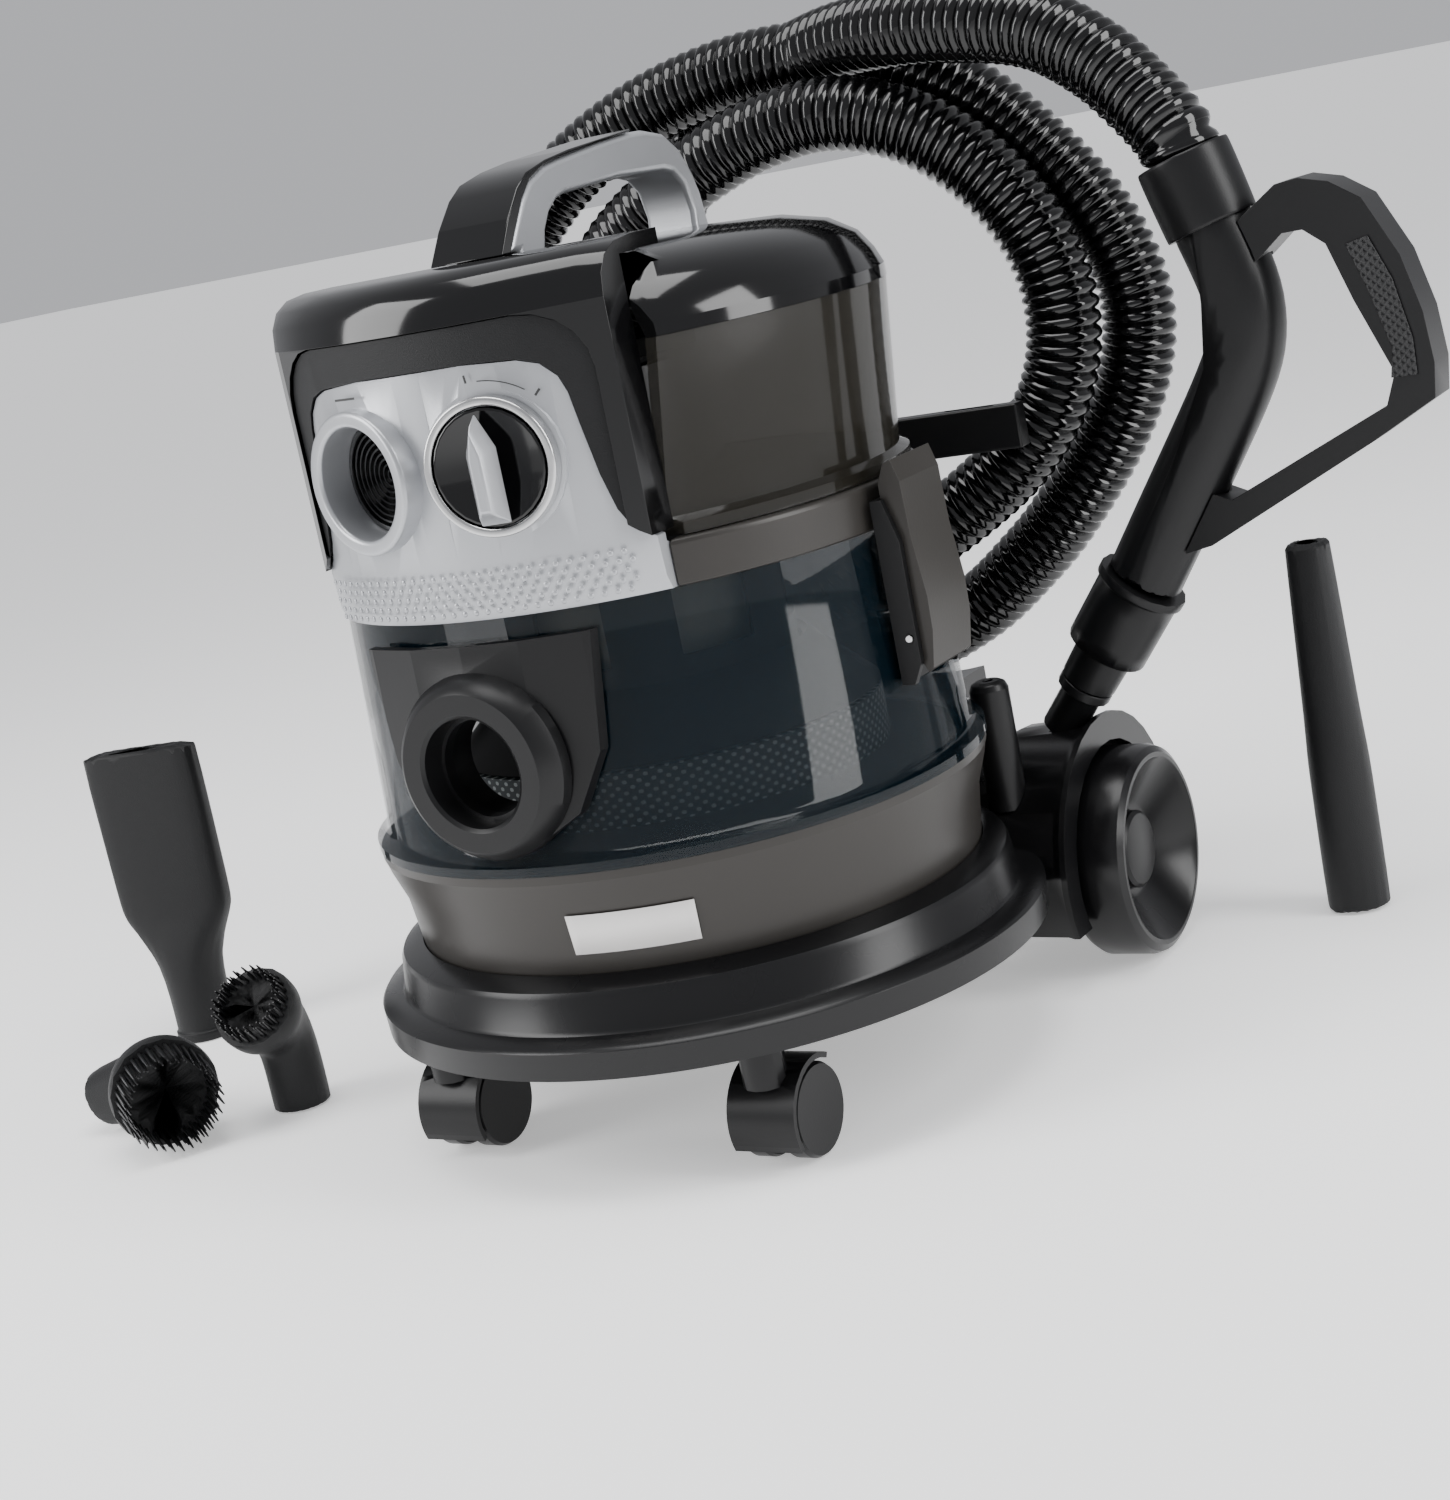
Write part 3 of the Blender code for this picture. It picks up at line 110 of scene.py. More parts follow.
def placeStage():
    mesh = bmesh.new()
    bmesh.ops.create_grid(mesh, x_segments=1, y_segments=1, size=stageLook["floorHalf"])
    bmesh.ops.translate(mesh, verts=mesh.verts, vec=(0.0, 0.0, -stageLook["floorDrop"]))
    paint = flatPaint("floorPaint", stageLook["floorPaint"], 0.9)
    shader = paint.node_tree.nodes["Principled BSDF"]
    shader.inputs["Emission Color"].default_value = (1.0, 1.0, 1.0, 1.0)
    shader.inputs["Emission Strength"].default_value = stageLook["floorGlow"]
    addObject("floor", mesh, paint)
    world = bpy.data.worlds.new("studio")
    world.use_nodes = True
    sky = world.node_tree.nodes["Background"]
    sky.inputs["Color"].default_value = (*stageLook["sky"], 1.0)
    sky.inputs["Strength"].default_value = stageLook["skyStrength"]
    bpy.context.scene.world = world
    softLight("leftLight", (-1.3, -1.3, 1.2), (0.9, 1.6), 34)
    softLight("rightLight", (1.9, 0.1, 1.1), (0.7, 1.7), 30)
    softLight("topLight", (0.1, -0.2, 2.0), (1.4, 1.0), 26)


# Materials


# Object-space grain: a value that varies slowly over the piece, a roughness and a bumped normal.
def grainGroup():
    name = "moulded grain"
    if name in bpy.data.node_groups:
        return bpy.data.node_groups[name]
    group = bpy.data.node_groups.new(name, "ShaderNodeTree")
    for socket, usual in (("Scale", 400.0), ("Bump", 0.1), ("Roughness", 0.4), ("Spread", 0.08)):
        added = group.interface.new_socket(socket, in_out="INPUT", socket_type="NodeSocketFloat")
        added.default_value = usual
    group.interface.new_socket("Value", in_out="OUTPUT", socket_type="NodeSocketFloat")
    group.interface.new_socket("Roughness", in_out="OUTPUT", socket_type="NodeSocketFloat")
    group.interface.new_socket("Normal", in_out="OUTPUT", socket_type="NodeSocketVector")
    nodes, links = group.nodes, group.links
    given = nodes.new("NodeGroupInput")
    made = nodes.new("NodeGroupOutput")
    place = nodes.new("ShaderNodeTexCoord")
    fine = nodes.new("ShaderNodeTexNoise")
    broad = nodes.new("ShaderNodeTexNoise")
    fine.inputs["Detail"].default_value = 3.0
    broad.inputs["Scale"].default_value = 9.0
    broad.inputs["Detail"].default_value = 4.0
    bump = nodes.new("ShaderNodeBump")
    bump.inputs["Distance"].default_value = 0.0004
    centred, scaled, summed = (nodes.new("ShaderNodeMath") for i in range(3))
    centred.operation, scaled.operation, summed.operation = "SUBTRACT", "MULTIPLY", "ADD"
    centred.inputs[1].default_value = 0.5
    for noise in (fine, broad):
        links.new(place.outputs["Object"], noise.inputs["Vector"])
    links.new(given.outputs["Scale"], fine.inputs["Scale"])
    links.new(fine.outputs["Fac"], bump.inputs["Height"])
    links.new(given.outputs["Bump"], bump.inputs["Strength"])
    links.new(broad.outputs["Fac"], centred.inputs[0])
    links.new(centred.outputs[0], scaled.inputs[0])
    links.new(given.outputs["Spread"], scaled.inputs[1])
    links.new(scaled.outputs[0], summed.inputs[0])
    links.new(given.outputs["Roughness"], summed.inputs[1])
    links.new(broad.outputs["Fac"], made.inputs["Value"])
    links.new(summed.outputs[0], made.inputs["Roughness"])
    links.new(bump.outputs["Normal"], made.inputs["Normal"])
    return group


def flatPaint(name, colour, roughness):
    made = bpy.data.materials.new(name)
    made.use_nodes = True
    shader = made.node_tree.nodes["Principled BSDF"]
    shader.inputs["Base Color"].default_value = (*colour, 1.0)
    shader.inputs["Roughness"].default_value = roughness
    return made


# A moulded or painted surface, with grain and slow changes of tone and gloss.
def moulded(name, colour, roughness, scale=500.0, bump=0.12, spread=0.10, **finish):
    if name in bpy.data.materials:
        return bpy.data.materials[name]
    made = flatPaint(name, colour, roughness)
    nodes, links = made.node_tree.nodes, made.node_tree.links
    shader = nodes["Principled BSDF"]
    shader.inputs["Metallic"].default_value = finish.get("metallic", 0.0)
    shader.inputs["Alpha"].default_value = finish.get("alpha", 1.0)
    shader.inputs["Specular IOR Level"].default_value = finish.get("specular", 0.5)
    shader.inputs["Coat Weight"].default_value = finish.get("coat", 0.0)
    shader.inputs["Coat Roughness"].default_value = 0.06
    grain = nodes.new("ShaderNodeGroup")
    grain.node_tree = grainGroup()
    for socket, value in (("Scale", scale), ("Bump", bump), ("Roughness", roughness), ("Spread", spread)):
        grain.inputs[socket].default_value = value
    tone = nodes.new("ShaderNodeMix")
    tone.data_type = "RGBA"
    tone.inputs[6].default_value = (*[c * 0.82 for c in colour], 1.0)
    tone.inputs[7].default_value = (*[min(1.0, c * 1.16) for c in colour], 1.0)
    links.new(grain.outputs["Value"], tone.inputs[0])
    links.new(tone.outputs[2], shader.inputs["Base Color"])
    links.new(grain.outputs["Roughness"], shader.inputs["Roughness"])
    links.new(grain.outputs["Normal"], shader.inputs["Normal"])
    return made


def satinBlack():
    return moulded("satin black", (0.0055, 0.0055, 0.0060), 0.36, 900.0, 0.10, specular=0.30)


def glossBlack():
    return moulded("gloss black", (0.0015, 0.0015, 0.0018), 0.10, 60.0, 0.02, 0.06, coat=0.25, specular=0.40)


def trolleyBlack():
    return moulded("trolley black", (0.0045, 0.0045, 0.0050), 0.27, 300.0, 0.06, 0.10, specular=0.36)


def texturedBlack():
    return moulded("textured black", (0.0070, 0.0072, 0.0078), 0.50, 1500.0, 0.6, specular=0.30)


def warmGrey():
    return moulded("warm grey", (0.034, 0.031, 0.028), 0.34, 700.0, 0.10, metallic=0.20, specular=0.40)


def satinSilver():
    return moulded("satin silver", (0.46, 0.47, 0.49), 0.32, 1400.0, 0.08, metallic=0.60)


def brightSteel():
    return moulded("bright steel", (0.62, 0.62, 0.62), 0.18, 250.0, 0.05, metallic=1.0)


def paperWhite():
    return moulded("pleated paper", (0.50, 0.49, 0.44), 0.8, 300.0, 0.5)


# A copy of a material in which colour shows where build's mask is one.
def masked(name, base, colour, build):
    if name in bpy.data.materials:
        return bpy.data.materials[name]
    made = base.copy()
    made.name = name
    nodes, links = made.node_tree.nodes, made.node_tree.links
    shader = nodes["Principled BSDF"]
    below = shader.inputs["Base Color"].links[0].from_socket
    mix = nodes.new("ShaderNodeMix")
    mix.data_type = "RGBA"
    mix.inputs[7].default_value = (*colour, 1.0)
    links.new(below, mix.inputs[6])
    mask = build(nodes, links)
    links.new(mask, mix.inputs[0])
    links.new(mix.outputs[2], shader.inputs["Base Color"])
    return made


# Sockets for the angle round the drum's axis and for the height.
def polar(nodes, links):
    place, split = nodes.new("ShaderNodeTexCoord"), nodes.new("ShaderNodeSeparateXYZ")
    links.new(place.outputs["Object"], split.inputs[0])
    angle = nodes.new("ShaderNodeMath")
    angle.operation = "ARCTAN2"
    links.new(split.outputs["Y"], angle.inputs[0])
    links.new(split.outputs["X"], angle.inputs[1])
    return angle.outputs[0], split.outputs["Z"]


def ripple(nodes, links, source, rate):
    scaled, wave = nodes.new("ShaderNodeMath"), nodes.new("ShaderNodeMath")
    scaled.operation, wave.operation = "MULTIPLY", "SINE"
    scaled.inputs[1].default_value = rate
    links.new(source, scaled.inputs[0])
    links.new(scaled.outputs[0], wave.inputs[0])
    return wave.outputs[0]


holeLook = {"around": 96.0, "rowRate": 1050.0, "cut": 0.45}


# Rows of small round spots, drawn as colour and not cut through.
def perforations(nodes, links):
    angle, height = polar(nodes, links)
    across = ripple(nodes, links, angle, holeLook["around"])
    along = ripple(nodes, links, height, holeLook["rowRate"])
    product, step = nodes.new("ShaderNodeMath"), nodes.new("ShaderNodeMath")
    product.operation, step.operation = "MULTIPLY", "GREATER_THAN"
    step.inputs[1].default_value = holeLook["cut"]
    links.new(across, product.inputs[0])
    links.new(along, product.inputs[1])
    links.new(product.outputs[0], step.inputs[0])
    return step.outputs[0]


# Dark blue see-through plastic.
def smokedDrum():
    return moulded("smoked drum", (0.002, 0.008, 0.013), 0.05, 30.0, 0.02, 0.04, alpha=0.52, specular=0.45)


def smokedWindow():
    return moulded("smoked window", (0.020, 0.018, 0.014), 0.07, 40.0, 0.02, 0.04, alpha=0.72, specular=0.45)


padLook = {"diamondRate": 1300.0, "relief": 0.0006}


# Black rubber with raised diamonds.
def diamondPad():
    if "diamond pad" in bpy.data.materials:
        return bpy.data.materials["diamond pad"]
    made = flatPaint("diamond pad", (0.012, 0.012, 0.013), 0.5)
    nodes, links = made.node_tree.nodes, made.node_tree.links
    place, split = nodes.new("ShaderNodeTexCoord"), nodes.new("ShaderNodeSeparateXYZ")
    links.new(place.outputs["Object"], split.inputs[0])
    waves = []
    for operation in ("ADD", "SUBTRACT"):
        slant = nodes.new("ShaderNodeMath")
        slant.operation = operation
        links.new(split.outputs["X"], slant.inputs[0])
        links.new(split.outputs["Z"], slant.inputs[1])
        waves.append(ripple(nodes, links, slant.outputs[0], padLook["diamondRate"]))
    higher, bump = nodes.new("ShaderNodeMath"), nodes.new("ShaderNodeBump")
    higher.operation = "MAXIMUM"
    bump.inputs["Distance"].default_value = padLook["relief"]
    links.new(waves[0], higher.inputs[0])
    links.new(waves[1], higher.inputs[1])
    links.new(higher.outputs[0], bump.inputs["Height"])
    links.new(bump.outputs["Normal"], nodes["Principled BSDF"].inputs["Normal"])
    return made


# Meshes


def addObject(name, mesh, material, sharp=30.0):
    data = bpy.data.meshes.new(name)
    bmesh.ops.recalc_face_normals(mesh, faces=mesh.faces)
    mesh.to_mesh(data)
    mesh.free()
    data.shade_smooth()
    data.set_sharp_from_angle(angle=math.radians(sharp))
    data.materials.append(material)
    made = bpy.data.objects.new(name, data)
    bpy.context.scene.collection.objects.link(made)
    return made


# Skins a list of rings of points and closes both ends.
def ringed(mesh, rings):
    made = [[mesh.verts.new(point) for point in ring] for ring in rings]
    for low, high in zip(made, made[1:]):
        for i in range(len(low)):
            j = (i + 1) % len(low)
            mesh.faces.new((low[i], low[j], high[j], high[i]))
    mesh.faces.new(list(reversed(made[0])))
    mesh.faces.new(made[-1])


# Turns a closed profile of (radius, height) about the local Z axis and puts it at place.
def spun(name, profile, material, place, steps=96):
    mesh = bmesh.new()
    points = [mesh.verts.new((radius, 0.0, height)) for radius, height in profile]
    edges = [mesh.edges.new(pair) for pair in zip(points, points[1:] + points[:1])]
    whole = 2 * math.pi
    bmesh.ops.spin(mesh, geom=points + edges, axis=(0, 0, 1), angle=whole, steps=steps, use_merge=True)
    bmesh.ops.remove_doubles(mesh, verts=mesh.verts, dist=1e-6)
    bmesh.ops.transform(mesh, verts=mesh.verts, matrix=place)
    return addObject(name, mesh, material)


copyLook = {
    "merge": 1e-6,
    "flat": 0.4,  # degrees between faces that count as one face
    "leastRadius": 0.003,
    "leastStep": 2.2,  # degrees of turn between which an edge is split and rounded
    "mostStep": 31,
    "bevelAngle": 38,
}


# A node's mesh with its triangles merged back into whole faces.
def wholeFaces(node):
    mesh = bmesh.new()
    mesh.from_mesh(frame["nodes"][node].data)
    bmesh.ops.remove_doubles(mesh, verts=mesh.verts, dist=copyLook["merge"])
    limit = math.radians(copyLook["flat"])
    bmesh.ops.dissolve_limit(mesh, angle_limit=limit, verts=mesh.verts, edges=mesh.edges)
    return mesh


# The frame's node with its turned sides brought nearer a true round, standing in for the node.
def sweepRound(name, node, axis, centre, material, passes=2, least=0.0, bevel=0.0, segments=2):
    mesh = wholeFaces(node)
    first, second = {"X": (1, 2), "Y": (0, 2), "Z": (0, 1)}[axis]

    def around(point):
        u, v = point[first] - centre[first], point[second] - centre[second]
        return math.hypot(u, v), math.atan2(v, u)

    for i in range(passes):
        chosen, target = [], {}
        for edge in mesh.edges:
            a, b = edge.verts[0].co, edge.verts[1].co
            (ra, ta), (rb, tb) = around(a), around(b)
            step = (tb - ta + math.pi) % (2 * math.pi) - math.pi
            if min(ra, rb) < max(least, copyLook["leastRadius"]) or abs(ra - rb) > 0.02 * max(ra, rb) + 0.0002:
                continue
            turn = math.degrees(abs(step))
            if not copyLook["leastStep"] < turn < copyLook["mostStep"]:
                continue
            middle = (a + b) / 2
            radius, angle = (ra + rb) / 2, ta + step / 2
            moved = middle.copy()
            moved[first] = centre[first] + radius * math.cos(angle)
            moved[second] = centre[second] + radius * math.sin(angle)
            target[tuple(round(c, 6) for c in middle)] = moved
            chosen.append(edge)
        split = bmesh.ops.subdivide_edges(mesh, edges=chosen, cuts=1, use_grid_fill=True)
        for item in split["geom_inner"]:
            if isinstance(item, bmesh.types.BMVert):
                key = tuple(round(c, 6) for c in item.co)
                if key in target:
                    item.co = target[key]
    made = addObject(name, mesh, material)
    if bevel:
        edges = made.modifiers.new("rounded edges", "BEVEL")
        edges.width = bevel
        edges.segments = segments
        edges.limit_method = "ANGLE"
        edges.angle_limit = math.radians(copyLook["bevelAngle"])
    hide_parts(node)
    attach(made, bodyOf[node])
    return made


# The frame's node with its edges rounded over.
def dressed(name, node, material, bevel=0.0006, segments=2):
    return sweepRound(name, node, "Z", (0.0, 0.0, 0.0), material, passes=0, bevel=bevel, segments=segments)


# Hose and wand

hoseLook = {
    "ribPitch": 0.0078,
    "grooveDepth": 0.0036,
    "ribShape": (0.0, 0.75, 1.0, 0.75),  # how far out each ring of a rib stands
    "connectorShare": 0.878,  # the hose's radius as a share of its connector's
    "sides": 20,
    "route": [
        (0.2745, 0.1900, 0.4570),
        (0.2711, 0.1900, 0.4690),
        (0.2560, 0.1940, 0.4890),
        (0.2290, 0.2020, 0.5160),
        (0.1920, 0.2120, 0.5388),
        (0.1450, 0.2220, 0.5508),
        (0.0950, 0.2350, 0.5565),
        (0.0450, 0.2520, 0.5570),
        (-0.0050, 0.2700, 0.5480),
        (-0.0550, 0.2880, 0.5290),
        (-0.1050, 0.3050, 0.4980),
        (-0.1480, 0.3200, 0.4530),
        (-0.1740, 0.3300, 0.3970),
        (-0.1810, 0.3360, 0.3350),
        (-0.1700, 0.3360, 0.2720),
        (-0.1400, 0.3300, 0.2200),
        (-0.0950, 0.3180, 0.1870),
        (-0.0450, 0.3060, 0.1738),
        (0.0050, 0.2950, 0.1755),
        (0.0600, 0.2860, 0.1975),
        (0.1000, 0.2820, 0.2250),
        (0.1300, 0.2800, 0.2510),
        (0.1678, 0.2790, 0.2942),
        (0.1920, 0.2780, 0.3350),
        (0.2000, 0.2770, 0.3780),
        (0.1870, 0.2750, 0.4250),
        (0.1560, 0.2720, 0.4714),
        (0.1130, 0.2680, 0.5150),
        (0.0600, 0.2640, 0.5450),
        (0.0080, 0.2600, 0.5527),
        (-0.0450, 0.2580, 0.5510),
        (-0.1040, 0.2540, 0.5380),
        (-0.1600, 0.2460, 0.5110),
        (-0.2020, 0.2360, 0.4700),
        (-0.2260, 0.2260, 0.4180),
        (-0.2290, 0.2200, 0.3600),
        (-0.2140, 0.2180, 0.3050),
        (-0.1840, 0.2200, 0.2570),
        (-0.1420, 0.2240, 0.2230),
        (-0.0920, 0.2290, 0.2080),
        (-0.0400, 0.2310, 0.2110),
        (0.0100, 0.2310, 0.2300),
        (0.0540, 0.2310, 0.2530),
        (0.0920, 0.2310, 0.2730),
        (0.1306, 0.2300, 0.2990),
        (0.1610, 0.2290, 0.3345),
        (0.1735, 0.2280, 0.3770),
        (0.1668, 0.2270, 0.4222),
        (0.1400, 0.2260, 0.4660),
        (0.0990, 0.2240, 0.5000),
        (0.0500, 0.2220, 0.5163),
        (0.0000, 0.2210, 0.5130),
        (-0.0447, 0.2220, 0.5000),
        (-0.0852, 0.2230, 0.4820),
        (-0.1240, 0.2260, 0.4570),
        (-0.1550, 0.2330, 0.4200),
        (-0.1740, 0.2450, 0.3740),
        (-0.1840, 0.2620, 0.3200),
        (-0.1910, 0.2800, 0.2640),
        (-0.1960, 0.2960, 0.2100),
        (-0.1890, 0.3040, 0.1500),
        (-0.1570, 0.3060, 0.0920),
        (-0.1080, 0.3060, 0.0510),
        (-0.0480, 0.3060, 0.0292),
        (-0.0160, 0.3060, 0.0262),
        (0.0200, 0.3060, 0.0262),
    ],
}


# Evenly spaced points on the smooth curve through the given ones.
def smoothLine(points, spacing):
    knots = [Vector(p) for p in points]
    knots = [knots[0] * 2 - knots[1]] + knots + [knots[-1] * 2 - knots[-2]]
    fine = []
    for p0, p1, p2, p3 in zip(knots, knots[1:], knots[2:], knots[3:]):
        for i in range(24):
            t = i / 24
            square = (2 * p0 - 5 * p1 + 4 * p2 - p3) * t**2
            cube = (3 * p1 - p0 - 3 * p2 + p3) * t**3
            fine.append(0.5 * (2 * p1 + (p2 - p0) * t + square + cube))
    fine.append(knots[-2])
    lengths = [0.0]
    for a, b in zip(fine, fine[1:]):
        lengths.append(lengths[-1] + (b - a).length)
    count = math.ceil(lengths[-1] / spacing)
    even, k = [], 0
    for i in range(count + 1):
        wanted = lengths[-1] * i / count
        while k < len(fine) - 2 and lengths[k + 1] < wanted:
            k += 1
        share = (wanted - lengths[k]) / (lengths[k + 1] - lengths[k])
        even.append(fine[k].lerp(fine[k + 1], share))
    return even, lengths[-1]


# The ribbed hose, swept along its route with a ring every quarter of a rib.
def makeHose(pieces):
    low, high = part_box("hose_connector")
    radius = (high[2] - low[2]) / 2 * hoseLook["connectorShare"]
    line, length = smoothLine(hoseLook["route"], hoseLook["ribPitch"] / 4)
    mesh = bmesh.new()
    shares = hoseLook["ribShape"]
    side = Vector((0.0, 1.0, 0.0))
    rings = []
    for i, point in enumerate(line):
        along = (line[min(i + 1, len(line) - 1)] - line[max(i - 1, 0)]).normalized()
        side = (side - along * along.dot(side)).normalized()
        up = along.cross(side)
        reach = radius - hoseLook["grooveDepth"] * (1 - shares[i % 4])
        ring = []
        for j in range(hoseLook["sides"]):
            angle = 2 * math.pi * j / hoseLook["sides"]
            ring.append(point + side * reach * math.cos(angle) + up * reach * math.sin(angle))
        rings.append(ring)
    ringed(mesh, rings)
    hose = addObject("ribbedHose", mesh, glossBlack(), 80.0)
    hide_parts("hose_tube")
    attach(hose, bodyOf["hose_tube"])


def makeWand():
    for node in ("wand_tube", "wand_ring", "wand_tip"):
        smoothCopy(node + "Look", node, satinBlack())
    dressed("gripLoop", "wand_handle", satinBlack(), 0.0055, 4)
    dressed("gripPad", "grip_pad", diamondPad(), 0.0004)


# The cuff and the connector, which end the hose.
def makeHoseEnds():
    return [smoothCopy(node + "Look", node, satinBlack()) for node in ("hose_cuff", "hose_connector")]


# The frame's node with two levels of subdivision, its sharper edges kept crisp.
def smoothCopy(name, node, material):
    mesh = wholeFaces(node)
    creases = mesh.edges.layers.float.new("crease_edge")
    for edge in mesh.edges:
        if len(edge.link_faces) == 2 and edge.calc_face_angle(0.0) > math.radians(50):
            edge[creases] = 0.9
    made = addObject(name, mesh, material, 55.0)
    rounder = made.modifiers.new("smooth", "SUBSURF")
    rounder.levels = rounder.render_levels = 2
    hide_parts(node)
    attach(made, bodyOf[node])
    return made


# Trolley

centre = (0.0, 0.0, 0.0)
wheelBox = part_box("rear_wheel_right")
wheelCentre = [(wheelBox[0][i] + wheelBox[1][i]) / 2 for i in range(3)]


def makeTrolley():
    sweepRound("trolleyLook", "base_trolley", "Z", centre, trolleyBlack(), least=0.158, bevel=0.0008)
    sweepRound("toolPeg", "tool_peg", "Z", middleOf("tool_peg"), satinBlack(), bevel=0.0006)
    dressed("wandPeg", "wand_peg", satinBlack())
    sweepRound("axleLook", "rear_axle", "X", wheelCentre, brightSteel())
    for hand in ("right", "left"):
        sweepRound(f"wheel_{hand}", f"rear_wheel_{hand}", "X", wheelCentre, trolleyBlack(), bevel=0.0008)
        sweepRound(f"hubCap_{hand}", f"hub_cap_{hand}", "X", wheelCentre, satinBlack(), bevel=0.0006)
        castor = middleOf(f"castor_wheels_{hand}")
        sweepRound(f"castor_{hand}", f"castor_wheels_{hand}", "X", castor, satinBlack())
        sweepRound(f"fork_{hand}", f"castor_fork_{hand}", "X", castor, satinBlack(), 1)


def middleOf(node):
    low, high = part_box(node)
    return [(low[i] + high[i]) / 2 for i in range(3)]


# Drum

drumLook = {
    "inletDrop": 0.063,  # from the top of the inlet's shield to its axis
    "labelTurn": 20.0,
    "labelWidth": 0.068,
    "labelHeight": 0.022,
    "labelReach": 0.9605,  # the label's radius and height as shares of the pan's
    "labelRise": 0.60,
    "labelLean": 0.16,
    "labelThickness": 0.0003,
}


def makeDrum():
    sweepRound("panLook", "lower_pan", "Z", centre, warmGrey(), bevel=0.0006)
    sweepRound("drumLook", "drum_clear", "Z", centre, smokedDrum())
    sweepRound("portLook", "inlet_port", "Y", middleOfInlet(), satinBlack(), bevel=0.0006)
    sweepRound("ringLook", "drum_ring", "Z", centre, warmGrey(), bevel=0.0010)
    dressed("barLook", "tool_bracket", satinBlack(), 0.0012)
    for hand in ("right", "left"):
        dressed(f"latchChannel_{hand}", f"latch_bracket_{hand}", satinBlack())
        dressed(f"latchPin_{hand}", f"latch_pin_{hand}", brightSteel(), 0.0003)
        dressed(f"latchLever_{hand}", f"latch_lever_{hand}", warmGrey(), 0.0012)


def middleOfInlet():
    low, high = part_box("inlet_port")
    return [0.0, low[1], high[2] - drumLook["inletDrop"]]


# A blank pale sticker on the pan's front.
def makeLabel():
    low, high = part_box("lower_pan")
    reach = high[0] * drumLook["labelReach"]
    z = low[2] + (high[2] - low[2]) * drumLook["labelRise"]
    mesh = bmesh.new()
    steps = 16
    rows = []
    for level in (-0.5, 0.5):
        height = z + level * drumLook["labelHeight"]
        row = []
        for i in range(steps + 1):
            turn = math.radians(drumLook["labelTurn"])
            turn += drumLook["labelWidth"] * (i / steps - 0.5) / reach
            lean = reach + (height - z) * drumLook["labelLean"]
            row.append(mesh.verts.new((lean * math.sin(turn), -lean * math.cos(turn), height)))
        rows.append(row)
    for i in range(steps):
        mesh.faces.new((rows[0][i], rows[0][i + 1], rows[1][i + 1], rows[1][i]))
    label = addObject("blankLabel", mesh, moulded("label paper", (0.80, 0.78, 0.76), 0.45, 800.0, 0.05))
    thick = label.modifiers.new("thickness", "SOLIDIFY")
    thick.thickness = drumLook["labelThickness"]
    thick.offset = 1.0
    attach(label, bodyOf["lower_pan"])


# Head

headLook = {"portTurn": 13.6, "portRings": 9, "ringLip": 0.0022}
dotLook = {
    "rows": 5,
    "step": 2.3,  # degrees
    "radius": 0.0016,
    "lowest": 0.0050,
    "rowGap": 0.0047,
    "aside": 14,
    "sink": 0.0016,
    "lean": 0.0010,
    "flatness": 0.45,
}
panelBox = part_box("control_panel")
panelReach = -panelBox[0][1]
dialMiddle = middleOf("knob_dial")
portHeight = dialMiddle[2]


# A point on the panel's face, at a turn in degrees from the front.
def onPanel(turn, height, out=0.0):
    angle = math.radians(turn)
    return Vector(((panelReach + out) * math.sin(angle), -(panelReach + out) * math.cos(angle), height))


# A matrix at a point on the panel with its Z axis pointing out of it.
def facing(turn, height, out=0.0):
    swing = Matrix.Rotation(math.radians(turn), 4, "Z")
    lay = Matrix.Rotation(math.radians(90), 4, "X")
    return Matrix.Translation(onPanel(turn, height, out)) @ swing @ lay


def makeHead():
    sweepRound("basePlate", "head_base", "Z", centre, satinBlack())
    sweepRound("shellLook", "head_shell", "Z", centre, smokedWindow(), bevel=0.0005)
    sweepRound("lidLook", "head_lid", "Z", centre, glossBlack(), bevel=0.0008)
    dressed("hoodLook", "front_hood", glossBlack(), 0.0010)
    sweepRound("inlayLook", "inlay_trim", "Z", centre, texturedBlack(), bevel=0.0004)
    sweepRound("panelLook", "control_panel", "Z", centre, satinSilver(), passes=1, least=0.12, bevel=0.0006)
    dressed("handleLook", "carry_handle", satinSilver(), 0.0040, 4)
    dressed("handleCap", "handle_cover", glossBlack(), 0.0010)
    dressed("dialLook", "knob_dial", glossBlack(), 0.0012)
    makeRing("collarLook", "blower_collar", satinSilver(), -headLook["portTurn"])
    makeRing("dialRing", "knob_ring", brightSteel(), headLook["portTurn"])


# How far the node's points reach in and out round the port's or the knob's axis, and along it.
def reachOf(node, turn):
    back = facing(turn, portHeight).inverted()
    points = [back @ vertex.co for vertex in frame["nodes"][node].data.vertices]
    radii = [math.hypot(p.x, p.y) for p in points]
    heights = [p.z for p in points]
    return min(radii), max(radii), min(heights), max(heights)


# A ring with a rounded lip, in the space of its node.
def makeRing(name, node, material, turn):
    inner, outer, low, high = reachOf(node, turn)
    lip = min(headLook["ringLip"], (outer - inner) / 3, (high - low) / 3)
    corner = [math.radians(15 * i) for i in range(7)]
    profile = [(inner, low), (outer, low)]
    profile += [(outer - lip + lip * math.cos(a), high - lip + lip * math.sin(a)) for a in corner]
    profile += [(inner + lip - lip * math.sin(a), high - lip + lip * math.cos(a)) for a in corner]
    ring = spun(name, profile, material, facing(turn, portHeight))
    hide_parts(node)
    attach(ring, bodyOf[node])


grilleLook = {"hole": 0.0008, "floor": 0.4, "margin": 0.002, "centre": 0.001, "depth": 0.55}


